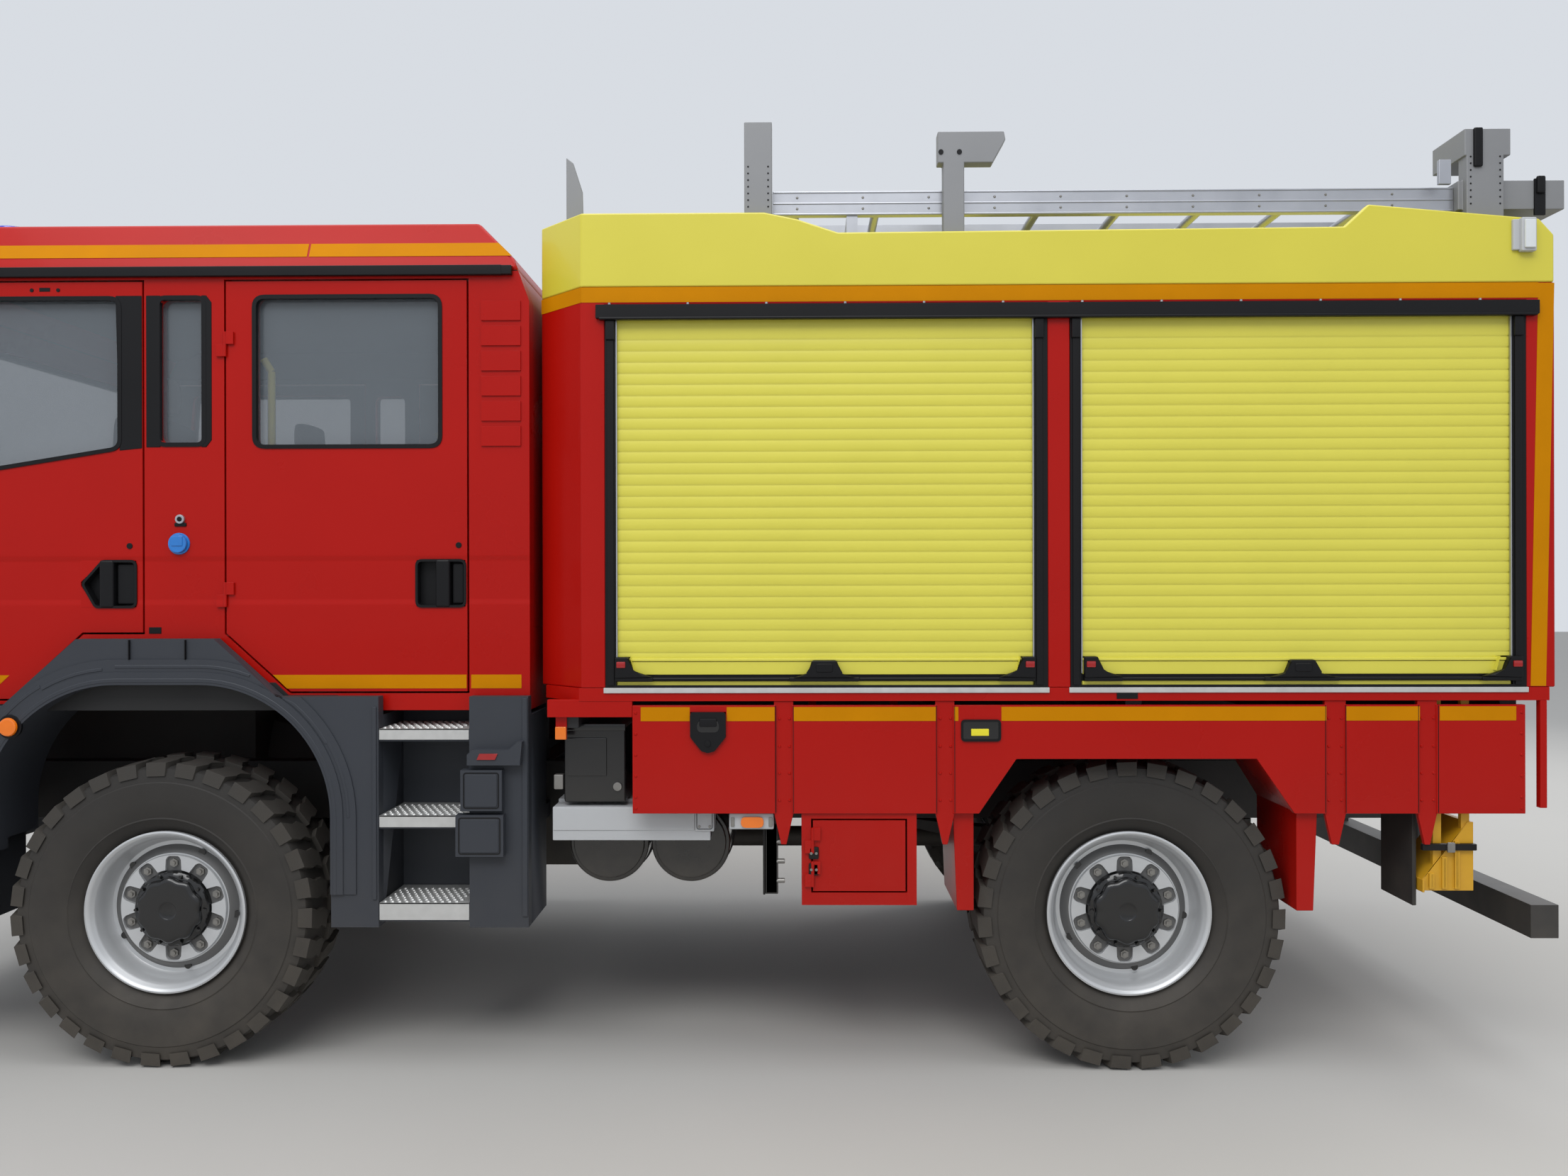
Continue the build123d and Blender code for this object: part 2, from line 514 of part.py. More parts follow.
with BuildPart() as cab_shell:
    with BuildSketch(Plane.XZ.offset(-CAB_HALF)):
        with BuildLine():
            Polyline(*CAB_PROFILE, close=True)
        make_face()
    extrude(amount=2 * CAB_HALF)
    with BuildSketch(Plane.YZ.offset(CAB_FRONT - 1)):  # roof sides lean in
        with BuildLine():
            Polyline((CAB_HALF + 1, 2930), (CAB_HALF + 1, CAB_TOP + 1), (CAB_HALF - 75, CAB_TOP + 1), close=True)
        make_face()
        mirror(about=Plane.YZ)
    extrude(amount=CAB_REAR - CAB_FRONT + 2, mode=Mode.SUBTRACT)
    with BuildSketch(Plane.XZ.offset(-CAB_HALF + CAB_WALL)):
        with BuildLine():
            Polyline(*CAB_INNER, close=True)
        make_face()
    extrude(amount=2 * (CAB_HALF - CAB_WALL), mode=Mode.SUBTRACT)
    for y_in, y_out in ((WHEELHOUSE_IN - CAB_WALL, CAB_HALF), (-CAB_HALF, CAB_WALL - WHEELHOUSE_IN)):
        side_plate(WHEELHOUSE_WALL, y_in, y_out)
    block(TUNNEL[0], (-TUNNEL[1] - 40, TUNNEL[1] + 40), (CAB_FLOOR_Z, TUNNEL[2] + 40))
    for y_in, y_out in ((WHEELHOUSE_IN, CAB_HALF + 1), (-CAB_HALF - 1, -WHEELHOUSE_IN)):
        side_plate(WHEELHOUSE, y_in, y_out, Mode.SUBTRACT)
    block((TUNNEL[0][0] + CAB_WALL, TUNNEL[0][1]), (-TUNNEL[1], TUNNEL[1]), (CAB_FLOOR_Z - 1, TUNNEL[2]), Mode.SUBTRACT)
    for outline, corner in ((FRONT_DOOR, 0), (REAR_DOOR, 0), (MID_WINDOW, WINDOW_CORNER)):
        for start in (CAB_HALF - CAB_WALL - 8, -CAB_HALF - 1):
            with BuildSketch(Plane.XZ.offset(start)):
                with BuildLine():
                    Polyline(*outline, close=True)
                make_face()
                if corner:
                    fillet(vertices(), corner)
            extrude(amount=CAB_WALL + 9, mode=Mode.SUBTRACT)
    with BuildSketch(Plane.YZ.offset(CAB_FRONT - 5)):  # windscreen
        with Locations((0, 2380)):
            Rectangle(2060, 860)
    extrude(amount=260, mode=Mode.SUBTRACT)
    with BuildSketch(Plane.YZ.offset(CAB_REAR - CAB_WALL - 5)):  # rear windows
        with Locations((-520, 2450), (520, 2450)):
            Rectangle(620, 420)
    extrude(amount=CAB_WALL + 10, mode=Mode.SUBTRACT)
    for side in (-1, 1):
        ear = (side * CAB_EAR[0], side * CAB_EAR[1])
        block((CAB_PIVOT[0] - 40, CAB_PIVOT[0] + 40), (min(ear), max(ear)), (CAB_PIVOT[1], CAB_FLOOR_Z + 5))
        rod((CAB_PIVOT[0], ear[0], CAB_PIVOT[1]), (CAB_PIVOT[0], ear[1], CAB_PIVOT[1]), 42)
        rod((CAB_PIVOT[0], ear[0], CAB_PIVOT[1]), (CAB_PIVOT[0], ear[1], CAB_PIVOT[1]), CAB_PIN_R + EYE_GAP, Mode.SUBTRACT)
    for side in (-1, 1):
        for hinge_x, heights in DOOR_HINGES:
            for z in heights:
                hinge_knuckle(hinge_x, CAB_HALF, z, -32, side)
    for row in range(RIBS):
        z = RIB_Z[0] + row * (RIB_Z[1] - RIB_Z[0]) / RIBS
        both(RIB_X, (CAB_HALF - 1, CAB_HALF + 6), (z, z + 72))
# The cab comes apart at the gutter, along its sides and above the floor
CAB_SEAM = 2910
FRAME_FOOT = 1600
SIDE_IN = CAB_HALF - CAB_WALL
cab_lower = split(cab_shell.part, Plane.XY.offset(CAB_SEAM), keep=Keep.BOTTOM)
cab_side = split(cab_lower, Plane.XZ.offset(SIDE_IN), keep=Keep.TOP)
cab_inner = split(cab_lower, Plane.XZ.offset(SIDE_IN), keep=Keep.BOTTOM)
cab_inner = split(cab_inner, Plane.XZ.offset(-SIDE_IN), keep=Keep.TOP)
save(split(cab_shell.part, Plane.XY.offset(CAB_SEAM), keep=Keep.TOP), "cab_roof")
save(Compound(children=[*cab_side.solids(), *mirror(cab_side, about=Plane.XZ).solids()]), "cab_sides")
save(split(cab_inner, Plane.XY.offset(FRAME_FOOT), keep=Keep.BOTTOM), "cab_floor")
save(split(cab_inner, Plane.XY.offset(FRAME_FOOT), keep=Keep.TOP), "cab_frames")

# Doors: the opening's outline less a gap all round, with the window cut
HANDLE_Z = (1680, 1850)
FOOT_CORNER = {"door_front": 3, "door_rear": 0}
DOORS = (  # name, outline, window, hinge, handle
    ("door_front", FRONT_DOOR, FRONT_WINDOW, DOOR_HINGES[0], (-2120, -1915)),
    ("door_rear", REAR_DOOR, REAR_WINDOW, DOOR_HINGES[1], (-879, -700)),
)
for name, outline, window, (hinge_x, heights), handle_x in DOORS:
    with BuildPart() as door:
        with BuildSketch(Plane.XZ.offset(CAB_HALF - CAB_WALL)):
            with BuildLine():
                Polyline(*outline, close=True)
            make_face()
            offset(amount=-GAP - 1, kind=Kind.INTERSECTION)
        extrude(amount=CAB_WALL)
        window_cut(window, CAB_HALF - CAB_WALL - 1, CAB_HALF + 1, WINDOW_CORNER, Mode.SUBTRACT)
        block(handle_x, (-CAB_HALF - 1, -CAB_HALF + 34), HANDLE_Z, Mode.SUBTRACT)
        block((handle_x[0] + 75, handle_x[0] + 120), (-CAB_HALF - 4, -CAB_HALF + 8), (HANDLE_Z[0] - 1, HANDLE_Z[1] + 1))
        for z in heights:
            hinge_knuckle(hinge_x, CAB_HALF, z + HINGE_H + HINGE_SPLIT, 32)
    with BuildPart() as pane:
        window_cut(window, CAB_HALF - 34, CAB_HALF - 28, WINDOW_CORNER)
    # The door's foot beside the wing is a solid of its own
    foot = outline[FOOT_CORNER[name]][1] + GAP + 1
    leaf = [split(door.part, Plane.XY.offset(foot), keep=part) for part in (Keep.BOTTOM, Keep.TOP)]
    save(gather(leaf), f"{name}_left")
    save(gather(mirrored(leaf)), f"{name}_right")
    save(pane.part, f"{name.replace('door', 'pane')}_left")
    save(mirror(pane.part, about=Plane.XZ), f"{name.replace('door', 'pane')}_right")

# Fixed cab glass: windscreen, mid windows, rear windows
with BuildPart() as cab_glass:
    window_cut(MID_WINDOW, CAB_HALF - 34, CAB_HALF - 28, WINDOW_CORNER)
    mirror(about=Plane.XZ)
    with BuildSketch(Plane.XZ.offset(-1030)):
        with BuildLine():
            Polyline(
                (CAB_FRONT + 31, 1950), (CAB_FRONT + 38, 1950), (CAB_FRONT + 154, 2810), (CAB_FRONT + 147, 2810), close=True,
            )
        make_face()
    extrude(amount=2060)
    both((CAB_REAR - 34, CAB_REAR - 28), (210, 830), (2240, 2660))
save(cab_glass.part, "cab_glass")

# Front panel below the windscreen, with grille slots
with BuildPart() as front_panel:
    block((FRONT_X, CAB_FRONT), (-CAB_HALF, CAB_HALF), (1140, 1850))
    chamfer(front_panel.edges().filter_by(Axis.Z).sort_by(Axis.X)[:2], 50)
    for row in range(4):
        z = 1240 + row * 90
        block((FRONT_X - 1, FRONT_X + 30), (-700, 700), (z, z + 50), Mode.SUBTRACT)
save(front_panel.part, "front_panel")

# Seats and dashboard
SEATS = (  # back of the squab, outer half width, inner half width
    (-2000, 1000, 480),
    (-640, 1040, 0),
)
HEADRESTS = ((-2000, 740), (-640, 260), (-640, 780))  # back of the squab, place across
HEADREST_SIZE = (70, 290, 170)
with BuildPart() as seats:
    for back_x, outer, inner in SEATS:
        floor_z = WHEELHOUSE[1][1] + CAB_WALL if back_x < -1500 else CAB_FLOOR_Z + CAB_WALL
        inner = max(inner, 2)
        both((back_x - 480, back_x), (inner, outer), (floor_z, floor_z + 300))
        both((back_x - 110, back_x), (inner, outer), (floor_z + 300, floor_z + 900))
headrests = []
for back_x, middle in HEADRESTS:
    seat_top = (WHEELHOUSE[1][1] if back_x < -1500 else CAB_FLOOR_Z) + CAB_WALL + 900
    headrests.append(slab(
        (back_x - HEADREST_SIZE[0] - 20, back_x - 20),
        (-middle - HEADREST_SIZE[1] / 2, -middle + HEADREST_SIZE[1] / 2), (seat_top, seat_top + HEADREST_SIZE[2]),
    ))
save(gather([seats.part, *headrests, *mirrored(headrests)]), "seats")

with BuildPart() as dashboard:
    block((CAB_FRONT + CAB_WALL, CAB_FRONT + 400), (-1000, 1000), (1600, 1885))
    rod((CAB_FRONT + 390, -720, 1850), (CAB_FRONT + 560, -720, 1990), 22)
    with BuildSketch(Plane(origin=(CAB_FRONT + 560, -720, 1990), z_dir=(170, 0, 140))):
        Circle(225)
        Circle(195, mode=Mode.SUBTRACT)
        Rectangle(400, 40)
    extrude(amount=25)
save(dashboard.part, "dashboard")

# Mirrors on arms at the front pillars, beacons on the roof
with BuildPart() as cab_fittings:
    both((CAB_FRONT + 115, CAB_FRONT + 155), (CAB_HALF, 1300), (2640, 2680))
    both((CAB_FRONT + 60, CAB_FRONT + 150), (1230, 1440), (2050, 2660))
    both((CAB_FRONT + 230, -560), (CAB_HALF, CAB_HALF + 22), (2892, 2928))
    with Locations((CAB_FRONT + 560, -700, CAB_TOP), (CAB_FRONT + 560, 700, CAB_TOP)):
        Cylinder(85, 150, align=(Align.CENTER, Align.CENTER, Align.MIN))
save(cab_fittings.part, "cab_fittings")

# Tanks under the front of the body, left
AIR_TANKS = ((-187, 148), (118, 148))  # place along the truck, radius
with BuildPart() as air_tanks:
    for x, radius in AIR_TANKS:
        rod((x, -1050, 797), (x, -520, 797), radius)
        block((x - 60, x + 60), (-540, -RAIL_HALF), (790, 900))
    block((-337, -110), (-1150, -700), (963, 1242))
    block((-337, -110), (-705, -RAIL_HALF), (963, 1000))
save(air_tanks.part, "air_tanks")

with BuildPart() as battery_box:
    block((-375, 200), (-1170, -1060), (828, 950))
    block((-375, 200), (-1065, -RAIL_HALF), (946, 962))
save(battery_box.part, "battery_box")

with BuildPart() as fuel_tank:
    block((-375, 480), (520, 1150), (600, 1150))
    fillet(fuel_tank.edges().filter_by(Axis.X), 90)
    for x in (-250, 320):
        block((x, x + 60), (RAIL_HALF, 540), (800, 1000))
save(fuel_tank.part, "fuel_tank")

with BuildPart() as silencer:
    rod((-1100, 650, 880), (-640, 650, 880), 190)
    block((-900, -840), (RAIL_HALF, 480), (820, 900))
save(silencer.part, "silencer")

# Body bearers on the rails
BODY_FRONT = -432
BODY_REAR = 3195
BEARERS = (-300, 468, 1043, 1720, 2425, 2748, 3050)
BEARER_H = 100
FLOOR_EDGE = 1215
FRONT_BLOCK = ((-377, -73), 1285)  # under the floor's front corner: its length, its underside
LAMP_TAB = (-352, -312)
with BuildPart() as subframe:
    both((BODY_FRONT + 40, RAIL_REAR), (RAIL_HALF - RAIL_FLANGE, RAIL_HALF), (RAIL_TOP, LEDGE_BOTTOM - BEARER_H))
save(subframe.part, "subframe")

with BuildPart() as body_bearers:
    for x in BEARERS:
        block((x - 30, x + 30), (-FLOOR_EDGE, FLOOR_EDGE), (LEDGE_BOTTOM - BEARER_H, LEDGE_BOTTOM))
hanger = slab((400, 446), (-1204, -1190), (643, LEDGE_BOTTOM - BEARER_H))
save(gather([body_bearers.part, hanger, *mirrored([hanger])]), "body_bearers")

# Body: floor ledge, shell with locker bays, yellow band with the roof tray
CORNER = 150
FRONT_BAY = (-130, 1360)
REAR_BAY = (1526, 3047)
BAY_Z = (LEDGE_TOP + 10, SHUTTER_TOP)
TANK_HALF = 600


def body_plan(front, rear, half, corner):
    """Corners of the body's outline in plan, with its front corners cut."""
    return (
        (front, -half + corner), (front + corner, -half), (rear, -half), (rear, half),
        (front + corner, half), (front, half - corner),
    )


with BuildPart() as body_floor:
    with BuildSketch(Plane.XY.offset(LEDGE_BOTTOM)):
        with BuildLine():
            Polyline(*body_plan(BODY_FRONT + 20, BODY_REAR - 20, BODY_HALF, CORNER), close=True)
        make_face()
    extrude(amount=LEDGE_TOP - LEDGE_BOTTOM)
    both(FRONT_BLOCK[0], (FLOOR_EDGE, BODY_HALF - 2), (FRONT_BLOCK[1], LEDGE_BOTTOM + 5))
    both(LAMP_TAB, (FLOOR_EDGE, FLOOR_EDGE + 8), (1203, FRONT_BLOCK[1] + 5))
save(body_floor.part, "body_floor")

with BuildPart() as body_shell:
    with BuildSketch(Plane.XY.offset(LEDGE_TOP)):
        with BuildLine():
            Polyline(*body_plan(BODY_FRONT, BODY_REAR, BODY_HALF, CORNER + 30), close=True)
        make_face()
    extrude(amount=BAND_BOTTOM - LEDGE_TOP)
    for bay in (FRONT_BAY, REAR_BAY):
        block((bay[0] - 38, bay[1] + 48), (-BODY_HALF - 1, BODY_HALF + 1), (LEDGE_TOP - 1, SHUTTER_TOP + 53), Mode.SUBTRACT)
    block((BODY_REAR - 200, BODY_REAR + 1), (-620, 620), (LEDGE_TOP - 1, SHUTTER_TOP - 100), Mode.SUBTRACT)
save(body_shell.part, "body_shell")

DECK_Z = 2900
PARAPET = 35
BAND_TOP = (  # place along the truck, height
    (BODY_FRONT - 1, 3085), (402, 3085), (520, 3060), (665, 3012), (2458, 3022), (2543, 3100), (3143, 3046), (BODY_REAR + 1, 2987),
)
with BuildPart() as roof_band:
    with BuildSketch(Plane.XY.offset(BAND_BOTTOM)):
        with BuildLine():
            Polyline(*body_plan(BODY_FRONT, BODY_REAR, BODY_HALF, CORNER + 30), close=True)
        make_face()
    extrude(amount=320)
    with BuildSketch(Plane.XY.offset(DECK_Z)):
        with BuildLine():
            Polyline(*body_plan(BODY_FRONT + PARAPET, BODY_REAR - PARAPET, BODY_HALF - PARAPET, CORNER + 15), close=True)
        make_face()
    extrude(amount=320, mode=Mode.SUBTRACT)
    with BuildSketch(Plane.XZ.offset(-BODY_HALF - 1)):
        with BuildLine():
            Polyline(*BAND_TOP, (BODY_REAR + 1, 3200), (BODY_FRONT - 1, 3200), close=True)
        make_face()
    extrude(amount=2 * BODY_HALF + 2, mode=Mode.SUBTRACT)
save(roof_band.part, "roof_band")

with BuildPart() as water_tank:
    block((FRONT_BAY[0] - 38, FRONT_BAY[1] + 48), (-TANK_HALF, TANK_HALF), (LEDGE_TOP, SHUTTER_TOP + 53))
    block((REAR_BAY[0] - 38, REAR_BAY[1] - 500), (-TANK_HALF, TANK_HALF), (LEDGE_TOP, SHUTTER_TOP + 53))
save(water_tank.part, "water_tank")

# Shutter frames: rails each side, gutter above, sill below
RAIL_IN = BODY_HALF - 70
with BuildPart() as shutter_frames:
    for bay in (FRONT_BAY, REAR_BAY):
        both((bay[0] - 38, bay[1] + 48), (RAIL_IN, BODY_HALF), (LEDGE_TOP, SHUTTER_TOP + 53))
        both(bay, (RAIL_IN - 1, BODY_HALF + 1), (LEDGE_TOP + 10, SHUTTER_TOP), Mode.SUBTRACT)
    both((-198, 3133), (BODY_HALF, BODY_HALF + 18), (SHUTTER_TOP + 2, SHUTTER_TOP + 50))
save(shutter_frames.part, "shutter_frames")

# Shutters: one curtain to a bay, slats as a stepped section drawn out along the bay
SLAT = 40
SLAT_GROOVE = 5
CURTAIN = (BODY_HALF - 40, BODY_HALF - 15)
BAR_Z = (1412, 1428)
BAR_OUT = BODY_HALF + 8


def curtain_section(z_low, z_high, out_face, in_face):
    """Corners of a curtain's section: flat slats with a shallow groove between them."""
    count = int((z_high - z_low) // SLAT)
    points = [(in_face, z_low), (out_face, z_low)]
    for slat in range(1, count):
        z = z_low + slat * SLAT
        step = SLAT_GROOVE if out_face > in_face else -SLAT_GROOVE
        points += [(out_face, z - 8), (out_face - step, z - 4), (out_face, z)]
    points += [(out_face, z_high), (in_face, z_high)]
    return points


with BuildPart() as shutters:
    for bay in (FRONT_BAY, REAR_BAY):
        with BuildSketch(Plane.YZ.offset(bay[0])):
            with BuildLine():
                Polyline(*curtain_section(BAY_Z[0], BAY_Z[1], -CURTAIN[1], -CURTAIN[0]), close=True)
            make_face()
        extrude(amount=bay[1] - bay[0])
        block((bay[0] + 4, bay[1] - 4), (-BAR_OUT, -CURTAIN[1] + 1), BAR_Z)
        middle = (bay[0] + bay[1]) / 2
        handle = ((-125, 1426), (-58, 1440), (-44, 1488), (44, 1488), (58, 1440), (125, 1426))
        side_plate([(middle + x, z) for x, z in handle], CURTAIN[1] - 1, BAR_OUT + 10)
        for end_x, turn in ((bay[0] + 4, 1), (bay[1] - 4, -1)):
            catch = ((0, 1424), (0, 1500), (48, 1500), (62, 1450), (130, 1428), (130, 1424))
            side_plate([(end_x + turn * x, z) for x, z in catch], CURTAIN[1] - 1, BAR_OUT + 6)
    mirror(about=Plane.XZ)
    with BuildSketch(Plane.XZ.offset(-620)):
        with BuildLine():
            rear_section = curtain_section(LEDGE_TOP, SHUTTER_TOP - 100, BODY_REAR - 20, BODY_REAR - 45)
            Polyline(*rear_section, close=True)
        make_face()
    extrude(amount=1240)
save(shutters.part, "shutters")

# Skirts: panels with riveted strips between them, hung from the floor, with the rear arch cut
SKIRT_TOP = 1327
SKIRT_Y = (BODY_HALF - 25, BODY_HALF)
PANELS = ((-72, 438), (497, 1013), (1071, 2392), (2457, 2719), (2778, 3090))
STRIP_TAIL = 830
FILLER_COVER = (
    (135, 1304), (262, 1304), (262, 1215), (222, 1165), (198, 1158), (175, 1165), (135, 1215),
)
POCKET = ((1106, 1232), (1206, 1268))
REAR_ARCH = ((1161, SKIRT_BOTTOM - 1), (1295, 1135), (2145, 1135), (2279, SKIRT_BOTTOM - 1))
with BuildPart() as skirts:
    for panel in PANELS:
        block(panel, (-SKIRT_Y[1], -SKIRT_Y[0]), (SKIRT_BOTTOM, SKIRT_TOP))
    for left, right in zip(PANELS, PANELS[1:]):
        side_plate(
            ((left[1] - 5, LEDGE_BOTTOM), (right[0] + 5, LEDGE_BOTTOM), (right[0] + 5, SKIRT_BOTTOM), (right[0] - 20, STRIP_TAIL),
             (left[1] + 20, STRIP_TAIL), (left[1] - 5, SKIRT_BOTTOM)),
            SKIRT_Y[0], SKIRT_Y[1] - 6,
        )
    side_plate(REAR_ARCH, SKIRT_Y[0] - 1, SKIRT_Y[1] + 1, Mode.SUBTRACT)
    side_plate(FILLER_COVER, SKIRT_Y[1] - 5, SKIRT_Y[1] + 12)
    block(POCKET[0], (-SKIRT_Y[1] - 1, -SKIRT_Y[1] + 10), POCKET[1], Mode.SUBTRACT)
    block((3142, 3166), (-SKIRT_Y[1], -SKIRT_Y[0]), (961, LEDGE_BOTTOM))
    mirror(about=Plane.XZ)
save(skirts.part, "skirts")

# Rear mudguards: arch over each wheel, behind the skirts
GUARD_HALF = 574
with BuildPart() as rear_mudguards:
    with BuildSketch(Plane.XZ.offset(860)):
        with BuildLine():
            Polyline(
                (REAR_AXLE_X - GUARD_HALF - 74, SKIRT_BOTTOM), (REAR_AXLE_X - GUARD_HALF - 60, 590),
                (REAR_AXLE_X - GUARD_HALF, 590), (REAR_AXLE_X - GUARD_HALF, SKIRT_BOTTOM),
                (REAR_AXLE_X - 430, 1175), (REAR_AXLE_X + 430, 1175), (REAR_AXLE_X + GUARD_HALF, SKIRT_BOTTOM),
                (REAR_AXLE_X + GUARD_HALF, 590), (REAR_AXLE_X + GUARD_HALF + 60, 590),
                (REAR_AXLE_X + GUARD_HALF + 74, SKIRT_BOTTOM), (REAR_AXLE_X + 450, 1200), (REAR_AXLE_X - 450, 1200), close=True,
            )
        make_face()
    extrude(amount=SKIRT_Y[0] - 860)
    mirror(about=Plane.XZ)
save(rear_mudguards.part, "rear_mudguards")

with BuildPart() as mudflaps:
    both((2722, 2737), (960, 1190), (600, LEDGE_BOTTOM - BEARER_H))
save(mudflaps.part, "mudflaps")

# Under-lockers: open boxes hung from the bearers, each with a side-hinged door
LOCKER_X = (531, 941)
LOCKER_Y = (800, 1240)
LOCKER_Z = (613, SKIRT_BOTTOM)
LOCKER_WALL = 16
LOCKER_HINGES = (680, 800)
LOCKER_DOOR = ((571, 901), (663, 915))
with BuildPart() as under_lockers:
    both(LOCKER_X, LOCKER_Y, LOCKER_Z)
    both(
        (LOCKER_X[0] + LOCKER_WALL, LOCKER_X[1] - LOCKER_WALL), (LOCKER_Y[0] + LOCKER_WALL, LOCKER_Y[1] - 24),
        (LOCKER_Z[0] + LOCKER_WALL, LOCKER_Z[1] - LOCKER_WALL), Mode.SUBTRACT,
    )
    both(
        (LOCKER_DOOR[0][0] - GAP, LOCKER_DOOR[0][1] + GAP), (LOCKER_Y[1] - 25, LOCKER_Y[1] + 1),
        (LOCKER_DOOR[1][0] - GAP, LOCKER_DOOR[1][1] + GAP), Mode.SUBTRACT,
    )
    for x in (560, 880):
        both((x, x + 30), (LOCKER_Y[0], LOCKER_Y[0] + 20), (SKIRT_BOTTOM, LEDGE_BOTTOM))
    for side in (-1, 1):
        for z in LOCKER_HINGES:
            hinge_knuckle(LOCKER_DOOR[0][0] - 1, LOCKER_Y[1], z, -28, side)
save(under_lockers.part, "under_lockers")

with BuildPart() as locker_door:
    block(LOCKER_DOOR[0], (-LOCKER_Y[1], -LOCKER_Y[1] + 22), LOCKER_DOOR[1])
    for z in LOCKER_HINGES:
        hinge_knuckle(LOCKER_DOOR[0][0] - 1, LOCKER_Y[1], z + HINGE_H + HINGE_SPLIT, 28)
save(locker_door.part, "locker_door_left")
save(mirror(locker_door.part, about=Plane.XZ), "locker_door_right")

# Wheel chocks in their holders behind the rear wheels
with BuildPart() as wheel_chocks:
    side_plate(((2745, 660), (2745, 700), (2905, 905), (2926, 905), (2926, 660)), 1020, 1215)
    for x in (2775, 2820, 2865):
        block((x - 9, x + 9), (-1224, -1210), (668, 686 + (x - 2745) * 1.28))
    block((2785, 2815), (-1210, -1190), (740, LEDGE_BOTTOM))
    block((2885, 2915), (-1210, -1190), (860, LEDGE_BOTTOM))
    mirror(about=Plane.XZ)
save(wheel_chocks.part, "wheel_chocks")

# Roof: gantry posts on the parapet, ladder held on edge between them
POSTS = (  # low and high along the truck, top height
    (330, 430, 3420),
    (1045, 1120, 3275),
    (2908, 3040, 3290),
)
FIN = ((-331, DECK_Z), (-331, 3334), (-305, 3314), (-271, 3207), (-263, DECK_Z))
FIN_Y = (1100, 1112)
T_ARM = ((1025, 3269), (1025, 3381), (1262, 3381), (1268, 3352), (1222, 3269))
ROOF_BOX = ((1289, 1739), (-700, -300), (DECK_Z, 3096))
TAIL_BOX = ((2891, REAR_X), (-1190, -720), (3096, 3201))
LADDER_X = (431, 2890)
LADDER_Z = (3100, 3185)
LADDER_RAILS = (-1144.7, -750)
POST_Y = (1160, BODY_HALF - PARAPET)
with BuildPart() as roof_gantry:
    for low, high, top in POSTS:
        block((low, high), (-POST_Y[1], -POST_Y[0]), (DECK_Z, top))
    side_plate(FIN, *FIN_Y)
    side_plate(T_ARM, POST_Y[0], POST_Y[1])
    block((2901, 3064), (-POST_Y[1], -1000), (3282, 3378))
    block(*ROOF_BOX)
    block(*TAIL_BOX)
save(roof_gantry.part, "roof_gantry")

with BuildPart() as ladders:
    for y in LADDER_RAILS:
        block(LADDER_X, (y - 15, y + 15), LADDER_Z)
    for x in range(LADDER_X[0] + 80, LADDER_X[1], 300):
        rod((x, LADDER_RAILS[0], 3142), (x, LADDER_RAILS[1], 3142), 16)
    for x in (700, 2700):
        block((x, x + 40), (LADDER_RAILS[0] - 10, LADDER_RAILS[1] + 10), (DECK_Z, LADDER_Z[0]))
    for y in (760, 1080):
        block((BODY_REAR + 40, BODY_REAR + 70), (y - 15, y + 15), (1540, 3060))
        for z in (1600, 2750):
            block((BODY_REAR, BODY_REAR + 45), (y - 12, y + 12), (z, z + 30))
    for step in range(5):
        z = 1590 + step * 300
        block((BODY_REAR + 42, BODY_REAR + 68), (760, 1080), (z, z + 28))
save(ladders.part, "ladders")

# Rear end: lamps, under-run bar with the tow jaw
with BuildPart() as lamps:
    both((FRONT_X + 4, FRONT_X + 45), LAMP_Y, LAMP_Z)
    both((BODY_REAR, BODY_REAR + 30), (700, 1200), (1400, 1520))
    both((271, 430), (1205, 1240), (880, SKIRT_BOTTOM))
    both((3046, 3118), (BODY_HALF, BODY_HALF + 26), (2930, 3036))
    both(LAMP_TAB, (FLOOR_EDGE + 8, FLOOR_EDGE + 20), (1203, 1249))
    for side in (-1, 1):
        rod((-2339, side * LIPS[1][1], 1248), (-2339, side * (LIPS[1][1] + 22), 1248), 32)
save(lamps.part, "lamps")

with BuildPart() as underrun_bar:
    block((REAR_X - 120, REAR_X - 20), (-1180, 1180), (480, 600))
    both((REAR_X - 130, REAR_X - 60), (RAIL_HALF - RAIL_FLANGE, RAIL_HALF), (590, RAIL_TOP))
    block((REAR_X - 130, REAR_X - 90), (-360, 360), (780, 980))
    block((REAR_X - 95, REAR_X), (-90, 90), (820, 940))
    block((REAR_X - 70, REAR_X + 1), (-91, 91), (850, 910), Mode.SUBTRACT)
    rod((REAR_X - 30, 0, 810), (REAR_X - 30, 0, 950), JAW_R, Mode.SUBTRACT)
save(underrun_bar.part, "underrun_bar")
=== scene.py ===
# %% [markdown]
# # A rural water tender, dressed over its CAD frame
# The CAD model gives every piece its true place. In this lesson we copy each CAD piece, round its edges
# and paint it. Then we add the small things that CAD leaves out, such as tyre lugs, tape, rivets, seals
# and lamps. The tables are in millimetres, because that is how a truck is measured, and one factor turns
# them into Blender's metres.
#
# A piece that follows a door or a wheel has to know the name of its body.

import json
import math

import bmesh
import bpy
from mathutils import Matrix, Vector

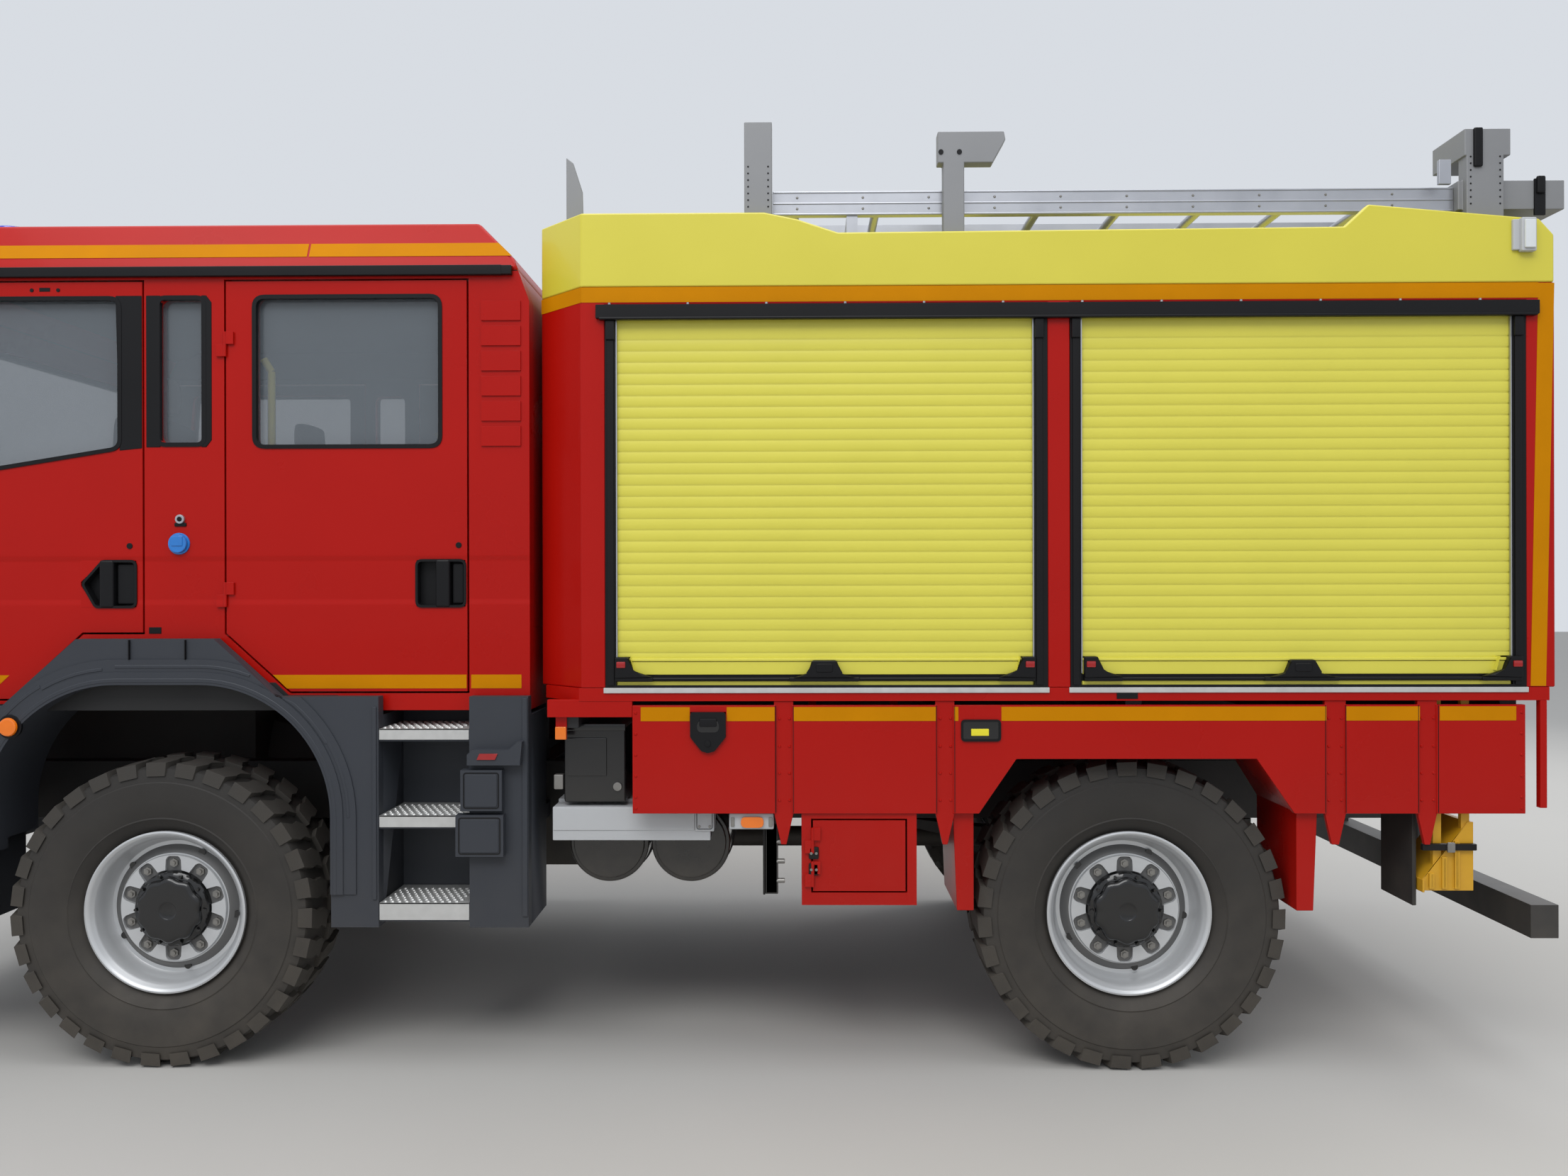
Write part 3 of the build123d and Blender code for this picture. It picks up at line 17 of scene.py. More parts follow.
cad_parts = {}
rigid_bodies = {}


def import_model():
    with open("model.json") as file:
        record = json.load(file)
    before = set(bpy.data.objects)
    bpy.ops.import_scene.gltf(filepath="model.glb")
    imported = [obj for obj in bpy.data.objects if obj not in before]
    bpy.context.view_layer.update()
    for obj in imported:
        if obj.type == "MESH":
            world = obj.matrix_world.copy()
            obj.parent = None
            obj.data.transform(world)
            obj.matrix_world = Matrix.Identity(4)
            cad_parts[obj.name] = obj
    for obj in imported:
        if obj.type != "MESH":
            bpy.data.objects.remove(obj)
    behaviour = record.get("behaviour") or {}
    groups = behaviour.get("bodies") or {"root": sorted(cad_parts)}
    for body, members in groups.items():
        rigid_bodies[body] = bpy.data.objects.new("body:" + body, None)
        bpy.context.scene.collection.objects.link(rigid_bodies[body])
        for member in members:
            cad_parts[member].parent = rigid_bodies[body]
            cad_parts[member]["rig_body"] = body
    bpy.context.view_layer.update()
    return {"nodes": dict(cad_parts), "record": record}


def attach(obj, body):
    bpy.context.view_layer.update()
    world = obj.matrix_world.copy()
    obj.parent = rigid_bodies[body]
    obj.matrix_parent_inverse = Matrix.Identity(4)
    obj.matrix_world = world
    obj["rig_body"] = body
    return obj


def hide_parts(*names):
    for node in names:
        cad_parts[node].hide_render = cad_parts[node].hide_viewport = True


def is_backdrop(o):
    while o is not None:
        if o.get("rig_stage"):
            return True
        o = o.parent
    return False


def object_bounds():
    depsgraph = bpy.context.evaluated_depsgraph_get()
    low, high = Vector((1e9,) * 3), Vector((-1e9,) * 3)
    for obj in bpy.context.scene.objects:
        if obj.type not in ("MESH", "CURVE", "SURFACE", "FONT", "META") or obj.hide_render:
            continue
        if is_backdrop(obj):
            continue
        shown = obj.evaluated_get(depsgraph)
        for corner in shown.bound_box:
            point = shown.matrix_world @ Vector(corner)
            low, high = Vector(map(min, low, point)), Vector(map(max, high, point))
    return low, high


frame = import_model()
MM = 0.001
LEFT, RIGHT = -1, 1
SIDES = ((LEFT, "left"), (RIGHT, "right"))
print("CAD pieces:", len(frame["nodes"]))

# %% [markdown]
# ## Colours
# A colour picked on a screen is made for the eye, while a shader counts light. So everyday numbers of 0 to
# 255 have to become linear ones. The colour picker does this when we click; a short function does it for
# every paint of the truck at once.

# %% From screen colour to light
def srgb(red, green, blue):
    """Turn an everyday colour of 0 to 255 into the linear numbers that a shader wants."""
    values = [c / 255 for c in (red, green, blue)]
    return [c / 12.92 if c <= 0.04045 else ((c + 0.055) / 1.055) ** 2.4 for c in values] + [1.0]


print("half grey is this much light:", round(srgb(128, 128, 128)[0], 3))

# %% [markdown]
# ## Four small node helpers
# A material is a chain of nodes. We could wire each chain by hand in the Shader Editor, but 40 finishes
# share the same few steps: a cloudy pattern, a new range, a product and a blend of two colours. Each
# helper adds one node and gives back its output. The patterns read Object coordinates, so they stay fixed
# to the piece when a door opens.

# %% Node helpers
def add_node(material, kind, *links):
    """Add a node to a material and link pairs of (output, name of the new node's input)."""
    node = material.node_tree.nodes.new(kind)
    for output, socket in links:
        material.node_tree.links.new(output, node.inputs[socket])
    return node


def noise(material, place, scale, detail):
    """A cloudy pattern from 0 to 1."""
    node = add_node(material, "ShaderNodeTexNoise", (place.outputs["Object"], "Vector"))
    node.inputs["Scale"].default_value = scale
    node.inputs["Detail"].default_value = detail
    return node.outputs["Fac"]


def ranged(material, value, old, new=(0.0, 1.0)):
    """Move a value from an old range to a new one."""
    node = add_node(material, "ShaderNodeMapRange", (value, "Value"))
    node.inputs["From Min"].default_value, node.inputs["From Max"].default_value = old
    node.inputs["To Min"].default_value, node.inputs["To Max"].default_value = new
    return node.outputs["Result"]


def product(material, first, second):
    """Multiply two values. The second may be a plain number."""
    node = add_node(material, "ShaderNodeMath", (first, 0))
    node.operation = "MULTIPLY"
    if isinstance(second, float):
        node.inputs[1].default_value = second
    else:
        material.node_tree.links.new(second, node.inputs[1])
    return node.outputs[0]


def blended(material, share, first, second):
    """Go from the first colour to the second. The first may be another node's output."""
    node = add_node(material, "ShaderNodeMix", (share, 0))
    node.data_type = "RGBA"
    if isinstance(first, list):
        node.inputs[6].default_value = first
    else:
        material.node_tree.links.new(first, node.inputs[6])
    node.inputs[7].default_value = second
    return node.outputs[2]


print("node helpers: noise, ranged, product, blended")

# %% [markdown]
# ## Dust, folds and grain
# A truck is never one even colour. Road dust lies thickest near the ground, so its amount follows the
# height and a speckle. The cab's doors have a shallow pressed band: two soft folds in the sheet, which
# a ramp over the height turns into a bump. Moulded plastic and rubber have a fine grain, and a small
# noise bump is enough for that.

# %% Dust, folds and grain
DUST = srgb(126, 116, 102)
FOLD_HEIGHTS = (1.60, 2.10)
FOLD_DEPTH = 0.02
GRAIN_DEPTH = 0.0006


def dusted(material, place, paint, amount, top):
    """Lay dust over a paint, from the ground up to a height in metres."""
    split = add_node(material, "ShaderNodeSeparateXYZ", (place.outputs["Object"], "Vector"))
    low = ranged(material, split.outputs["Z"], (top, 0.0))
    share = product(material, low, noise(material, place, 9, 9))
    return blended(material, product(material, share, amount), paint, DUST)


def bump(material, shader, height, depth, strength):
    """Turn a height pattern into small slopes of the surface."""
    node = add_node(material, "ShaderNodeBump", (height, "Height"))
    node.inputs["Distance"].default_value = depth
    node.inputs["Strength"].default_value = strength
    material.node_tree.links.new(node.outputs["Normal"], shader.inputs["Normal"])


def folds(material, place, shader, level):
    """Two soft folds along the cab's flank, with a band between them that lies a little deeper."""
    split = add_node(material, "ShaderNodeSeparateXYZ", (place.outputs["Object"], "Vector"))
    height = ranged(material, split.outputs["Z"], FOLD_HEIGHTS)
    ramp = add_node(material, "ShaderNodeValToRGB", (height, "Fac"))
    ramp.color_ramp.interpolation = "EASE"
    stops = ramp.color_ramp.elements
    stops[0].position, stops[0].color = 0.17, (1, 1, 1, 1)
    stops[1].position, stops[1].color = 0.22, (level, level, level, 1)
    for position, value in ((0.49, level), (0.54, 1.0)):
        stops.new(position).color = (value, value, value, 1)
    bump(material, shader, ramp.outputs["Color"], FOLD_DEPTH, 0.5)


print("dust reaches up to 0.9 or 1.2 m on most finishes")

# %% [markdown]
# ## One function for every finish
# Real paint changes slowly in tone and gloss. One cloud of noise drives both here, so a darker patch is
# also a smoother one. A number that is the same all over, such as metal or coat, is set straight on the
# shader's own socket, because an exported model keeps only those.

# %% Make a finish
def finish(name, colour, rough, metal=0.0, coat=0.0, tone=0.12, patch=2.5, grain=0.0, grain_scale=900.0,
           dust=0.0, dust_top=1.1, alpha=1.0, crease=0.0, shine=0.5):
    """Make a material whose colour, gloss and dust change slowly over the surface."""
    material = bpy.data.materials.new(name)
    material.use_nodes = True
    shader = material.node_tree.nodes["Principled BSDF"]
    links = material.node_tree.links
    place = add_node(material, "ShaderNodeTexCoord")

    cloud = noise(material, place, patch, 6)
    base = srgb(*colour)[:3]
    darker = [c * (1 - tone) for c in base] + [1]
    lighter = [min(1, c * (1 + tone)) for c in base] + [1]
    paint = blended(material, cloud, darker, lighter)
    if dust > 0:
        paint = dusted(material, place, paint, dust, dust_top)
    links.new(paint, shader.inputs["Base Color"])
    gloss = ranged(material, cloud, (0.0, 1.0), (max(0.02, rough * 0.8), min(1.0, rough * 1.25)))
    links.new(gloss, shader.inputs["Roughness"])

    shader.inputs["Metallic"].default_value = metal
    shader.inputs["Coat Weight"].default_value = coat
    shader.inputs["Coat Roughness"].default_value = 0.06
    shader.inputs["Specular IOR Level"].default_value = shine
    shader.inputs["Alpha"].default_value = alpha
    if crease:
        folds(material, place, shader, crease)
    elif grain > 0:
        bump(material, shader, noise(material, place, grain_scale, 2), GRAIN_DEPTH, grain)
    return material


# %% [markdown]
# ## Paint and film
# The body is a deep red with little shine, because flat daylight lies on it. The same red, with folds,
# goes on the cab's flanks. The shutters' film is a touch duller than the yellow of the roof band. The
# amber tape scatters light in small beads, which a fine bump and a low shine imitate.

# %% Paint and film
red = finish("red_gloss", (163, 15, 7), 0.28, coat=0.07, tone=0.06, dust=0.08, dust_top=1.2, shine=0.16)
red_side = finish("red_gloss_creased", (163, 15, 7), 0.28, coat=0.07, tone=0.06, crease=0.7, shine=0.16)
yellow = finish("yellow_gloss", (202, 192, 58), 0.32, coat=0.3, tone=0.05)
slat_yellow = finish("slat_film", (207, 199, 72), 0.42, coat=0.15, tone=0.05)
amber = finish("amber_tape", (188, 121, 2), 0.5, tone=0.1, patch=6, grain=0.25, grain_scale=500, shine=0.05)
white_tape = finish("white_tape", (214, 214, 210), 0.4, tone=0.06, patch=9)
hand_yellow = finish("grab_yellow", (222, 210, 40), 0.4, tone=0.06)
print("paints and films:", len(bpy.data.materials))

# %% [markdown]
# ## Plastic, rubber and cloth
# Wings and steps are grained plastic with dust on their lower half. A tyre's lugs are paler than its
# wall, because the road scrubs them. Seats are cloth, which is rough and coarse in its grain.

# %% Plastic, rubber and cloth
anthracite = finish("anthracite_plastic", (52, 55, 61), 0.5, tone=0.1, grain=0.3, grain_scale=700,
                    dust=0.2, dust_top=0.9, shine=0.3)
black = finish("black_satin", (18, 18, 20), 0.4, tone=0.15, dust=0.2, shine=0.2)
gloss_black = finish("black_gloss", (10, 10, 11), 0.12, coat=0.5, tone=0.1)
cap_black = finish("cap_black", (16, 16, 17), 0.24, coat=0.3, tone=0.15, patch=20)
seal = finish("seal_rubber", (18, 18, 19), 0.6, tone=0.1)
rubber = finish("tyre_rubber", (36, 34, 32), 0.72, tone=0.2, patch=7, grain=0.3, grain_scale=260, dust=0.3)
lug_rubber = finish("lug_rubber", (50, 47, 43), 0.78, tone=0.25, patch=16, grain=0.4, grain_scale=220,
                    dust=0.3)
flap = finish("flap_rubber", (30, 30, 30), 0.7, tone=0.2, dust=0.5)
amber_plastic = finish("amber_plastic", (204, 152, 14), 0.45, tone=0.12, patch=12, dust=0.4)
socket_blue = finish("socket_blue", (30, 112, 190), 0.3, coat=0.3, tone=0.1, patch=20)
interior = finish("interior_plastic", (62, 63, 66), 0.6, tone=0.1, grain=0.4)
tank_plastic = finish("tank_plastic", (170, 168, 160), 0.55, tone=0.08)
fabric = finish("seat_fabric", (44, 45, 48), 0.85, tone=0.2, patch=20, grain=0.8, grain_scale=900)
pale_fabric = finish("headrest_cover", (198, 200, 198), 0.8, tone=0.08, patch=14, grain=0.4)
print("with plastic, rubber and cloth:", len(bpy.data.materials))

# %% [markdown]
# ## Metal
# Bare metal reflects in its own colour, so it gets a high metal value. Painted metal doesn't. The wheel
# discs are in between: silver paint with metal flakes, which a value near one half matches well.

# %% Metal
chassis = finish("chassis_paint", (30, 31, 33), 0.55, tone=0.2, dust=0.5)
cast = finish("cast_iron", (54, 53, 52), 0.65, metal=0.4, tone=0.25, grain=0.5, grain_scale=300, dust=0.6)
enamel = finish("black_enamel", (20, 20, 21), 0.22, coat=0.3, tone=0.15, dust=0.5)
grey_sheet = finish("grey_sheet", (176, 178, 180), 0.45, tone=0.06, dust=0.3)
aluminium = finish("aluminium", (176, 178, 184), 0.34, metal=0.85, tone=0.1, patch=9)
tread_metal = finish("tread_aluminium", (198, 198, 196), 0.42, metal=0.6, tone=0.12, patch=30)
grey_coat = finish("grey_coating", (128, 129, 131), 0.5, metal=0.2, tone=0.1, patch=5)
rim_paint = finish("rim_silver", (196, 198, 200), 0.34, metal=0.45, tone=0.08, dust=0.18)
# The darker grey below is painted shade: a shell over the disc face that shows the recess round the nuts
# dark, with some dust on it.
rim_shade = finish("rim_painted_shade", (96, 97, 98), 0.5, metal=0.3, tone=0.15, dust=0.4)
nut_steel = finish("nut_steel", (140, 138, 134), 0.4, metal=0.8, tone=0.2, patch=40)
silencer = finish("silencer_steel", (120, 116, 110), 0.45, metal=0.8, tone=0.25, patch=8, dust=0.5)
mirror_glass = finish("mirror_glass", (150, 155, 158), 0.05, metal=1.0, tone=0.03)
print("with metal:", len(bpy.data.materials))

# %% [markdown]
# ## Glass and lenses
# Window glass could be a solid that bends light, but thin flat panes hardly bend it and the render gets
# grainy. A clear coat over a part-transparent grey gives the same look with less noise. Lamp lenses are
# coloured plastic with a coat on top.

# %% Glass and lenses
glass = finish("tinted_glass", (112, 120, 127), 0.03, coat=1.0, tone=0.05, alpha=0.42)
clear_lens = finish("clear_lens", (206, 210, 212), 0.1, coat=0.6, tone=0.06, patch=30)
red_lens = finish("red_lens", (150, 8, 8), 0.15, coat=0.6, tone=0.1, patch=30)
amber_lens = finish("amber_lens", (226, 112, 6), 0.2, coat=0.6, tone=0.1, patch=30)
blue_lens = finish("blue_lens", (16, 60, 190), 0.15, coat=0.6, tone=0.1, patch=20)
SLOT_PAINT = {
    "chassis_paint": chassis, "cast_metal": cast, "spring_steel": chassis, "anthracite_plastic": anthracite,
    "lamp_lens": clear_lens, "black_enamel": enamel, "grey_cover": grey_sheet, "aluminium_sheet": aluminium,
    "silencer_steel": silencer, "red_paint": red, "yellow_paint": yellow, "tank_plastic": tank_plastic,
    "black_rail": black, "shutter_yellow": slat_yellow, "flap_rubber": flap, "amber_plastic": amber_plastic,
    "grey_coating": grey_coat, "ladder_aluminium": aluminium, "rim_silver": rim_paint,
    "tyre_rubber": rubber, "glass": glass, "seat_fabric": fabric, "interior_plastic": interior,
}
print("all finishes:", len(bpy.data.materials), "for", len(SLOT_PAINT), "slots of the CAD record")

# %% [markdown]
# ## From a bmesh to a piece of the truck
# A bmesh is a mesh in the workshop: operators shape it freely, and it becomes an object only at the end.
# Here its faces are turned outwards and shaded smooth, with a sharp line wherever two faces meet at a
# steep angle. A Weighted Normal modifier keeps big flat panels flat beside their rounded edges. Last, the
# piece rides on a body.

# %% Finish a piece
def piece(name, bm, body, slot, *paints, smooth=35):
    """Turn a finished bmesh into an object that rides on a body."""
    bmesh.ops.recalc_face_normals(bm, faces=bm.faces[:])
    mesh = bpy.data.meshes.new(name)
    bm.to_mesh(mesh)
    bm.free()
    for paint in paints:
        mesh.materials.append(paint)
    mesh.shade_smooth()
    mesh.set_sharp_from_angle(angle=math.radians(smooth))
    thing = bpy.data.objects.new(name, mesh)
    bpy.context.scene.collection.objects.link(thing)
    flat = thing.modifiers.new("flat_panels", "WEIGHTED_NORMAL")
    flat.keep_sharp = True
    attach(thing, body)
    return thing


# %% [markdown]
# ## Rounded edges
# No real edge is perfectly sharp: sheet is bent, plastic is moulded, and the small radius catches light.
# A bevel on all edges of a new shape does that. In code, the bevel needs its profile of 0.5, and a material
# of -1 so that new faces keep their neighbours' paint.

# %% Bevel a shape
def bevel(bm, edges, width, segments=2):
    """Round some edges by a width in metres."""
    bmesh.ops.bevel(bm, geom=edges, offset=width, offset_type="OFFSET", segments=segments, profile=0.5,
                    affect="EDGES", clamp_overlap=True, material=-1)


def round_edges(bm, verts, width, segments=2, paint=0):
    """Paint a new shape's faces and round its edges."""
    edges = list({edge for vert in verts for edge in vert.link_edges})
    for face in {face for vert in verts for face in vert.link_faces}:
        face.material_index = paint
    if width > 0:
        bevel(bm, edges, width, segments)


# %% [markdown]
# ## Blocks and rods
# Most fittings start as a box or a round bar. bmesh has an operator for each, and a matrix puts it in its
# place while it is made, so the object itself can stay at the origin, as the export wants it.

# %% Block
def block(bm, low, high, width=1.5, paint=0, segments=2):
    """A block between two corners given in millimetres."""
    size = [(b - a) * MM for a, b in zip(low, high)]
    middle = [(a + b) / 2 * MM for a, b in zip(low, high)]
    shape = Matrix.Translation(middle) @ Matrix.Diagonal((*size, 1))
    made = bmesh.ops.create_cube(bm, size=1, matrix=shape)
    round_edges(bm, made["verts"], min(width * MM, min(abs(s) for s in size) * 0.45), segments, paint)


# %% Rod
def rod(bm, start, end, radius, sides=16, paint=0, width=0.0, tip=None):
    """A round bar between two points in millimetres. A tip radius makes it a cone."""
    start, end = Vector(start) * MM, Vector(end) * MM
    along = end - start
    turn = along.to_track_quat("Z", "Y").to_matrix().to_4x4()
    made = bmesh.ops.create_cone(
        bm, cap_ends=True, segments=sides, radius1=radius * MM,
        radius2=(radius if tip is None else tip) * MM, depth=along.length,
        matrix=Matrix.Translation((start + end) / 2) @ turn,
    )
    faces = {face for vert in made["verts"] for face in vert.link_faces}
    for face in faces:
        face.material_index = paint
    if width:
        caps = [face for face in faces if len(face.verts) > 4]
        bevel(bm, list({edge for face in caps for edge in face.edges}), width * MM)


# %% [markdown]
# ## Pulling an outline
# Sheet parts are an outline with a thickness. We make one face from the outline and extrude it: the
# operator builds the walls, and we only say where the new corners go. A face that stands alone stays as
# the closing cap. The same tool follows a path when each new face is pulled on to the next place.
#
# A bevel reads the normal that each face has stored. With true normals it pinches the inward bends of an
# outline. With empty ones it leaves them filled, as on a moulded grip, so we blank them before a bevel.

# %% Pull a face
def carry(made, corners, places):
    """Move each new corner of an extrusion from its old place to the one given for it."""
    for vert in (item for item in made if isinstance(item, bmesh.types.BMVert)):
        nearest = min(range(len(corners)), key=lambda i: (corners[i] - vert.co).length_squared)
        vert.co = places[nearest]


def pull(bm, face, corners, places):
    """Extrude a face, carry its corners to new places and give back the face at the far end."""
    made = bmesh.ops.extrude_face_region(bm, geom=[face, *face.edges])["geom"]
    carry(made, corners, places)
    return next(item for item in made if isinstance(item, bmesh.types.BMFace))


def blank_normals(verts):
    """Empty the stored normals of the faces round some corners, so that a bevel fills inward bends."""
    for face in {face for vert in verts for face in vert.link_faces}:
        face.normal = (0, 0, 0)


def on_axis(axis, u, v, w):
    """A point in millimetres whose w lies along the named axis, in metres."""
    return Vector({"y": (u, w, v), "z": (u, v, w), "x": (w, u, v)}[axis]) * MM


def prism(bm, outline, start, end, axis="y", width=1.0, paint=0, segments=1):
    """An outline drawn across one axis and pulled along it, all in millimetres."""
    near = [on_axis(axis, u, v, start) for u, v in outline]
    far = [on_axis(axis, u, v, end) for u, v in outline]
    first = bm.faces.new([bm.verts.new(corner) for corner in reversed(near)])  # the pull turns it over
    last = pull(bm, first, near, far)
    corners = list(first.verts) + list(last.verts)
    blank_normals(corners)
    round_edges(bm, corners, width * MM, segments, paint)


# %% [markdown]
# ## Spinning a profile
# Tyres, rims and caps are turned parts. We draw half of the section and spin it once round the axle. With
# its merge on, the spin joins the last step to the first, so no seam stays open.

# %% Lathe
def lathe(bm, profile, centre, side, steps, paint=0):
    """Spin a profile of (radius, outward) round a wheel's axle. The axle runs along Y."""
    points = [Vector((centre[0], centre[1] + side * out, centre[2] + radius)) * MM
              for radius, out in profile]
    verts = [bm.verts.new(p) for p in points]
    edges = [bm.edges.new(pair) for pair in zip(verts, verts[1:])]
    before = len(bm.faces)
    bmesh.ops.spin(bm, geom=verts + edges, cent=Vector(centre) * MM, axis=(0, 1, 0), dvec=(0, 0, 0),
                   angle=2 * math.pi, steps=steps, use_merge=True, use_duplicate=False)
    bm.faces.ensure_lookup_table()
    made = bm.faces[before:]
    for face in made:
        face.material_index = paint
    return made


# %% [markdown]
# ## Outlines
# Windows and frames have round corners, and a frame is an outline with a slightly larger copy round it.
# Both are worked out flat, as lists of two numbers, before any mesh exists: each corner becomes a short
# arc, and each side moves out by the same distance.

# %% Round and grow an outline
def rounded(outline, radius, steps=5):
    """Replace each corner of an outline by a small arc."""
    made = []
    count = len(outline)
    for i, corner in enumerate(outline):
        here = Vector(corner)
        to_last = Vector(outline[i - 1]) - here
        to_next = Vector(outline[(i + 1) % count]) - here
        back, on = to_last.normalized(), to_next.normalized()
        half = back.angle(on) / 2
        reach = min(radius / math.tan(half), 0.45 * to_last.length, 0.45 * to_next.length)
        a, b = here + back * reach, here + on * reach
        for k in range(steps + 1):
            t = k / steps
            made.append(tuple(a * (1 - t) ** 2 + here * 2 * t * (1 - t) + b * t ** 2))
    return made


def grown(outline, by):
    """Move every side of an outline outwards by the same distance."""
    area = sum(a[0] * b[1] - b[0] * a[1] for a, b in zip(outline, outline[1:] + outline[:1]))
    turn = 1 if area > 0 else -1
    count = len(outline)
    made = []
    for i in range(count):
        here = Vector(outline[i])
        back = (here - Vector(outline[i - 1])).normalized()
        on = (Vector(outline[(i + 1) % count]) - here).normalized()
        out_back, out_on = Vector((back.y, -back.x)) * turn, Vector((on.y, -on.x)) * turn
        share = (out_back + out_on).normalized()
        made.append(tuple(here + share * by / max(0.3, share.dot(out_back))))
    return made


def rect(x, z):
    """The four corners of a rectangle."""
    return [(x[0], z[0]), (x[1], z[0]), (x[1], z[1]), (x[0], z[1])]


print("a rounded rectangle has", len(rounded(rect((0, 9), (0, 9)), 1)), "corners")

# %% [markdown]
# ## Frames
# A window seal is a flat ring with a thickness. Its inner loop of edges is extruded outwards to make the
# flat ring, and then that ring of faces is extruded along the axis.

# %% Ring
def ring(bm, outline, wide, start, end, corner, paint=0, axis="y"):
    """A frame of even width round an outline with rounded corners."""
    inner = [on_axis(axis, u, v, start) for u, v in rounded(outline, corner)]
    outer = [on_axis(axis, u, v, start) for u, v in rounded(grown(outline, wide), corner + wide)]
    loop = [bm.verts.new(corner_at) for corner_at in inner]
    edges = [bm.edges.new(pair) for pair in zip(loop, loop[1:] + loop[:1])]
    made = bmesh.ops.extrude_edge_only(bm, edges=edges)["geom"]
    carry(made, inner, outer)
    flat = [item for item in made if isinstance(item, bmesh.types.BMFace)]
    made = bmesh.ops.extrude_face_region(bm, geom=flat, use_keep_orig=True)["geom"]
    lifted = [item for item in made if isinstance(item, bmesh.types.BMVert)]
    bmesh.ops.translate(bm, verts=lifted, vec=on_axis(axis, 0, 0, end - start))
    for vert in loop + lifted:
        for face in vert.link_faces:
            face.material_index = paint

# %% [markdown]
# ## Zones of another paint
# A CAD piece is one solid with one finish, but a cab wall is red outside and grey plastic inside. We could
# cut the mesh apart; it is simpler to name a box in space, and every face whose middle lies in the box
# gets the other paint. A zone without a paint takes its faces out, because a finer piece stands there.

# %% Zones
FRONT_DOOR_ROOM = ((-3100, 0, 1300), (-1800, 1100, 3000), interior)
REAR_DOOR_ROOM = ((-1800, 0, 1300), (-600, 1100, 3000), interior)
ZONES = {  # low corner, high corner, paint; y is counted outwards; no paint leaves those faces out
    "shutters": (((-140, 1242, 1400), (3060, 1290, 1510), None),),
    "skirts": (
        ((130, 1251, 1150), (270, 1270, 1310), None), ((1104, 1230, 1204), (1234, 1249, 1270), gloss_black),
    ),
    "lamps": (
        ((-2400, 1195, 1200), (-2280, 1240, 1310), None), ((-3268, 700, 680), (-3200, 1100, 900), None),
        ((-360, 1200, 1195), (-300, 1245, 1255), amber_lens), ((260, 1200, 870), (440, 1245, 945), None),
        ((3190, 690, 1390), (3240, 1210, 1530), None), ((3040, 1245, 2920), (3125, 1280, 3045), None),
    ),
    "cab_sides": (((-3200, 0, 1000), (-500, 1085, 3300), interior),),
    "cab_roof": (((-2900, 0, 2900), (-620, 1085, 3062), interior),),
    "door_front_left": (FRONT_DOOR_ROOM,),
    "door_front_right": (FRONT_DOOR_ROOM,),
    "door_rear_left": (REAR_DOOR_ROOM,),
    "door_rear_right": (REAR_DOOR_ROOM,),
    "cab_fittings": (((-2800, 500, 3100), (-2500, 800, 3300), None),),
}


def zone_paint(node, face):
    """The paint of the first zone that holds a face's middle, or False outside every zone."""
    middle = face.calc_center_median() / MM
    spot = (middle.x, abs(middle.y), middle.z)
    for low, high, paint in ZONES.get(node, ()):
        if all(a <= s <= b for a, s, b in zip(low, spot, high)):
            return paint
    return False


print("zones:", sum(len(boxes) for boxes in ZONES.values()), "on", len(ZONES), "pieces")

# %% [markdown]
# ## Whole faces before a bevel
# CAD geometry arrives as loose triangles. A bevel on a triangle's diagonal would crease a flat panel, so
# equal corners are merged and flat neighbours dissolved first. Where one solid was built against another,
# two faces share one place inside the piece. They never show, and they would spoil the bevel, so both go.

# %% Join a CAD copy
def join_flat(bm):
    """Dissolve the edges between faces that lie in one plane."""
    bmesh.ops.dissolve_limit(bm, angle_limit=math.radians(1), verts=bm.verts[:], edges=bm.edges[:],
                             use_dissolve_boundaries=False)


def drop_inner_walls(bm):
    """Take out the two faces that meet where one solid is built against another."""
    seen = {}
    for face in bm.faces:
        spot = tuple(round(c, 4) for c in face.calc_center_median())
        seen.setdefault((spot, round(face.calc_area(), 5)), []).append(face)
    twins = [face for faces in seen.values() if len(faces) == 2 for face in faces]
    bmesh.ops.delete(bm, geom=twins, context="FACES")
    return len(twins)


def cad_copy(node):
    """A bmesh of a CAD piece with whole faces."""
    bm = bmesh.new()
    bm.from_mesh(frame["nodes"][node].data)
    bmesh.ops.remove_doubles(bm, verts=bm.verts[:], dist=2e-5)
    join_flat(bm)
    if drop_inner_walls(bm):
        join_flat(bm)
    return bm


# %% Paint and round a CAD copy
SLOT_OF = {part["node"]: part["material_slot"] for part in frame["record"]["subparts"]}
BODY_OF = {name: node["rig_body"] for name, node in frame["nodes"].items()}
SHARP = math.radians(28)


def paint_zones(bm, node, paints):
    """Give each face its paint, take out the faces of empty zones and list the paints in use."""
    left_out = []
    for face in bm.faces:
        second = zone_paint(node, face)
        face.material_index = 0
        if second is None:
            left_out.append(face)
        elif second:
            if second not in paints:
                paints.append(second)
            face.material_index = paints.index(second)
    bmesh.ops.delete(bm, geom=left_out, context="FACES")
    return paints


def refine(node, width, paint=None):
    """Copy a CAD piece, paint its zones and round its sharp edges by a width in millimetres."""
    bm = cad_copy(node)
    paints = paint_zones(bm, node, [paint or SLOT_PAINT[SLOT_OF[node]]])
    sharp = [edge for edge in bm.edges if len(edge.link_faces) == 2 and edge.calc_face_angle(0) > SHARP]
    if width > 0 and sharp:
        bevel(bm, sharp, width * MM)
    thing = piece(node + "_finish", bm, BODY_OF[node], SLOT_OF[node], *paints)
    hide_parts(node)


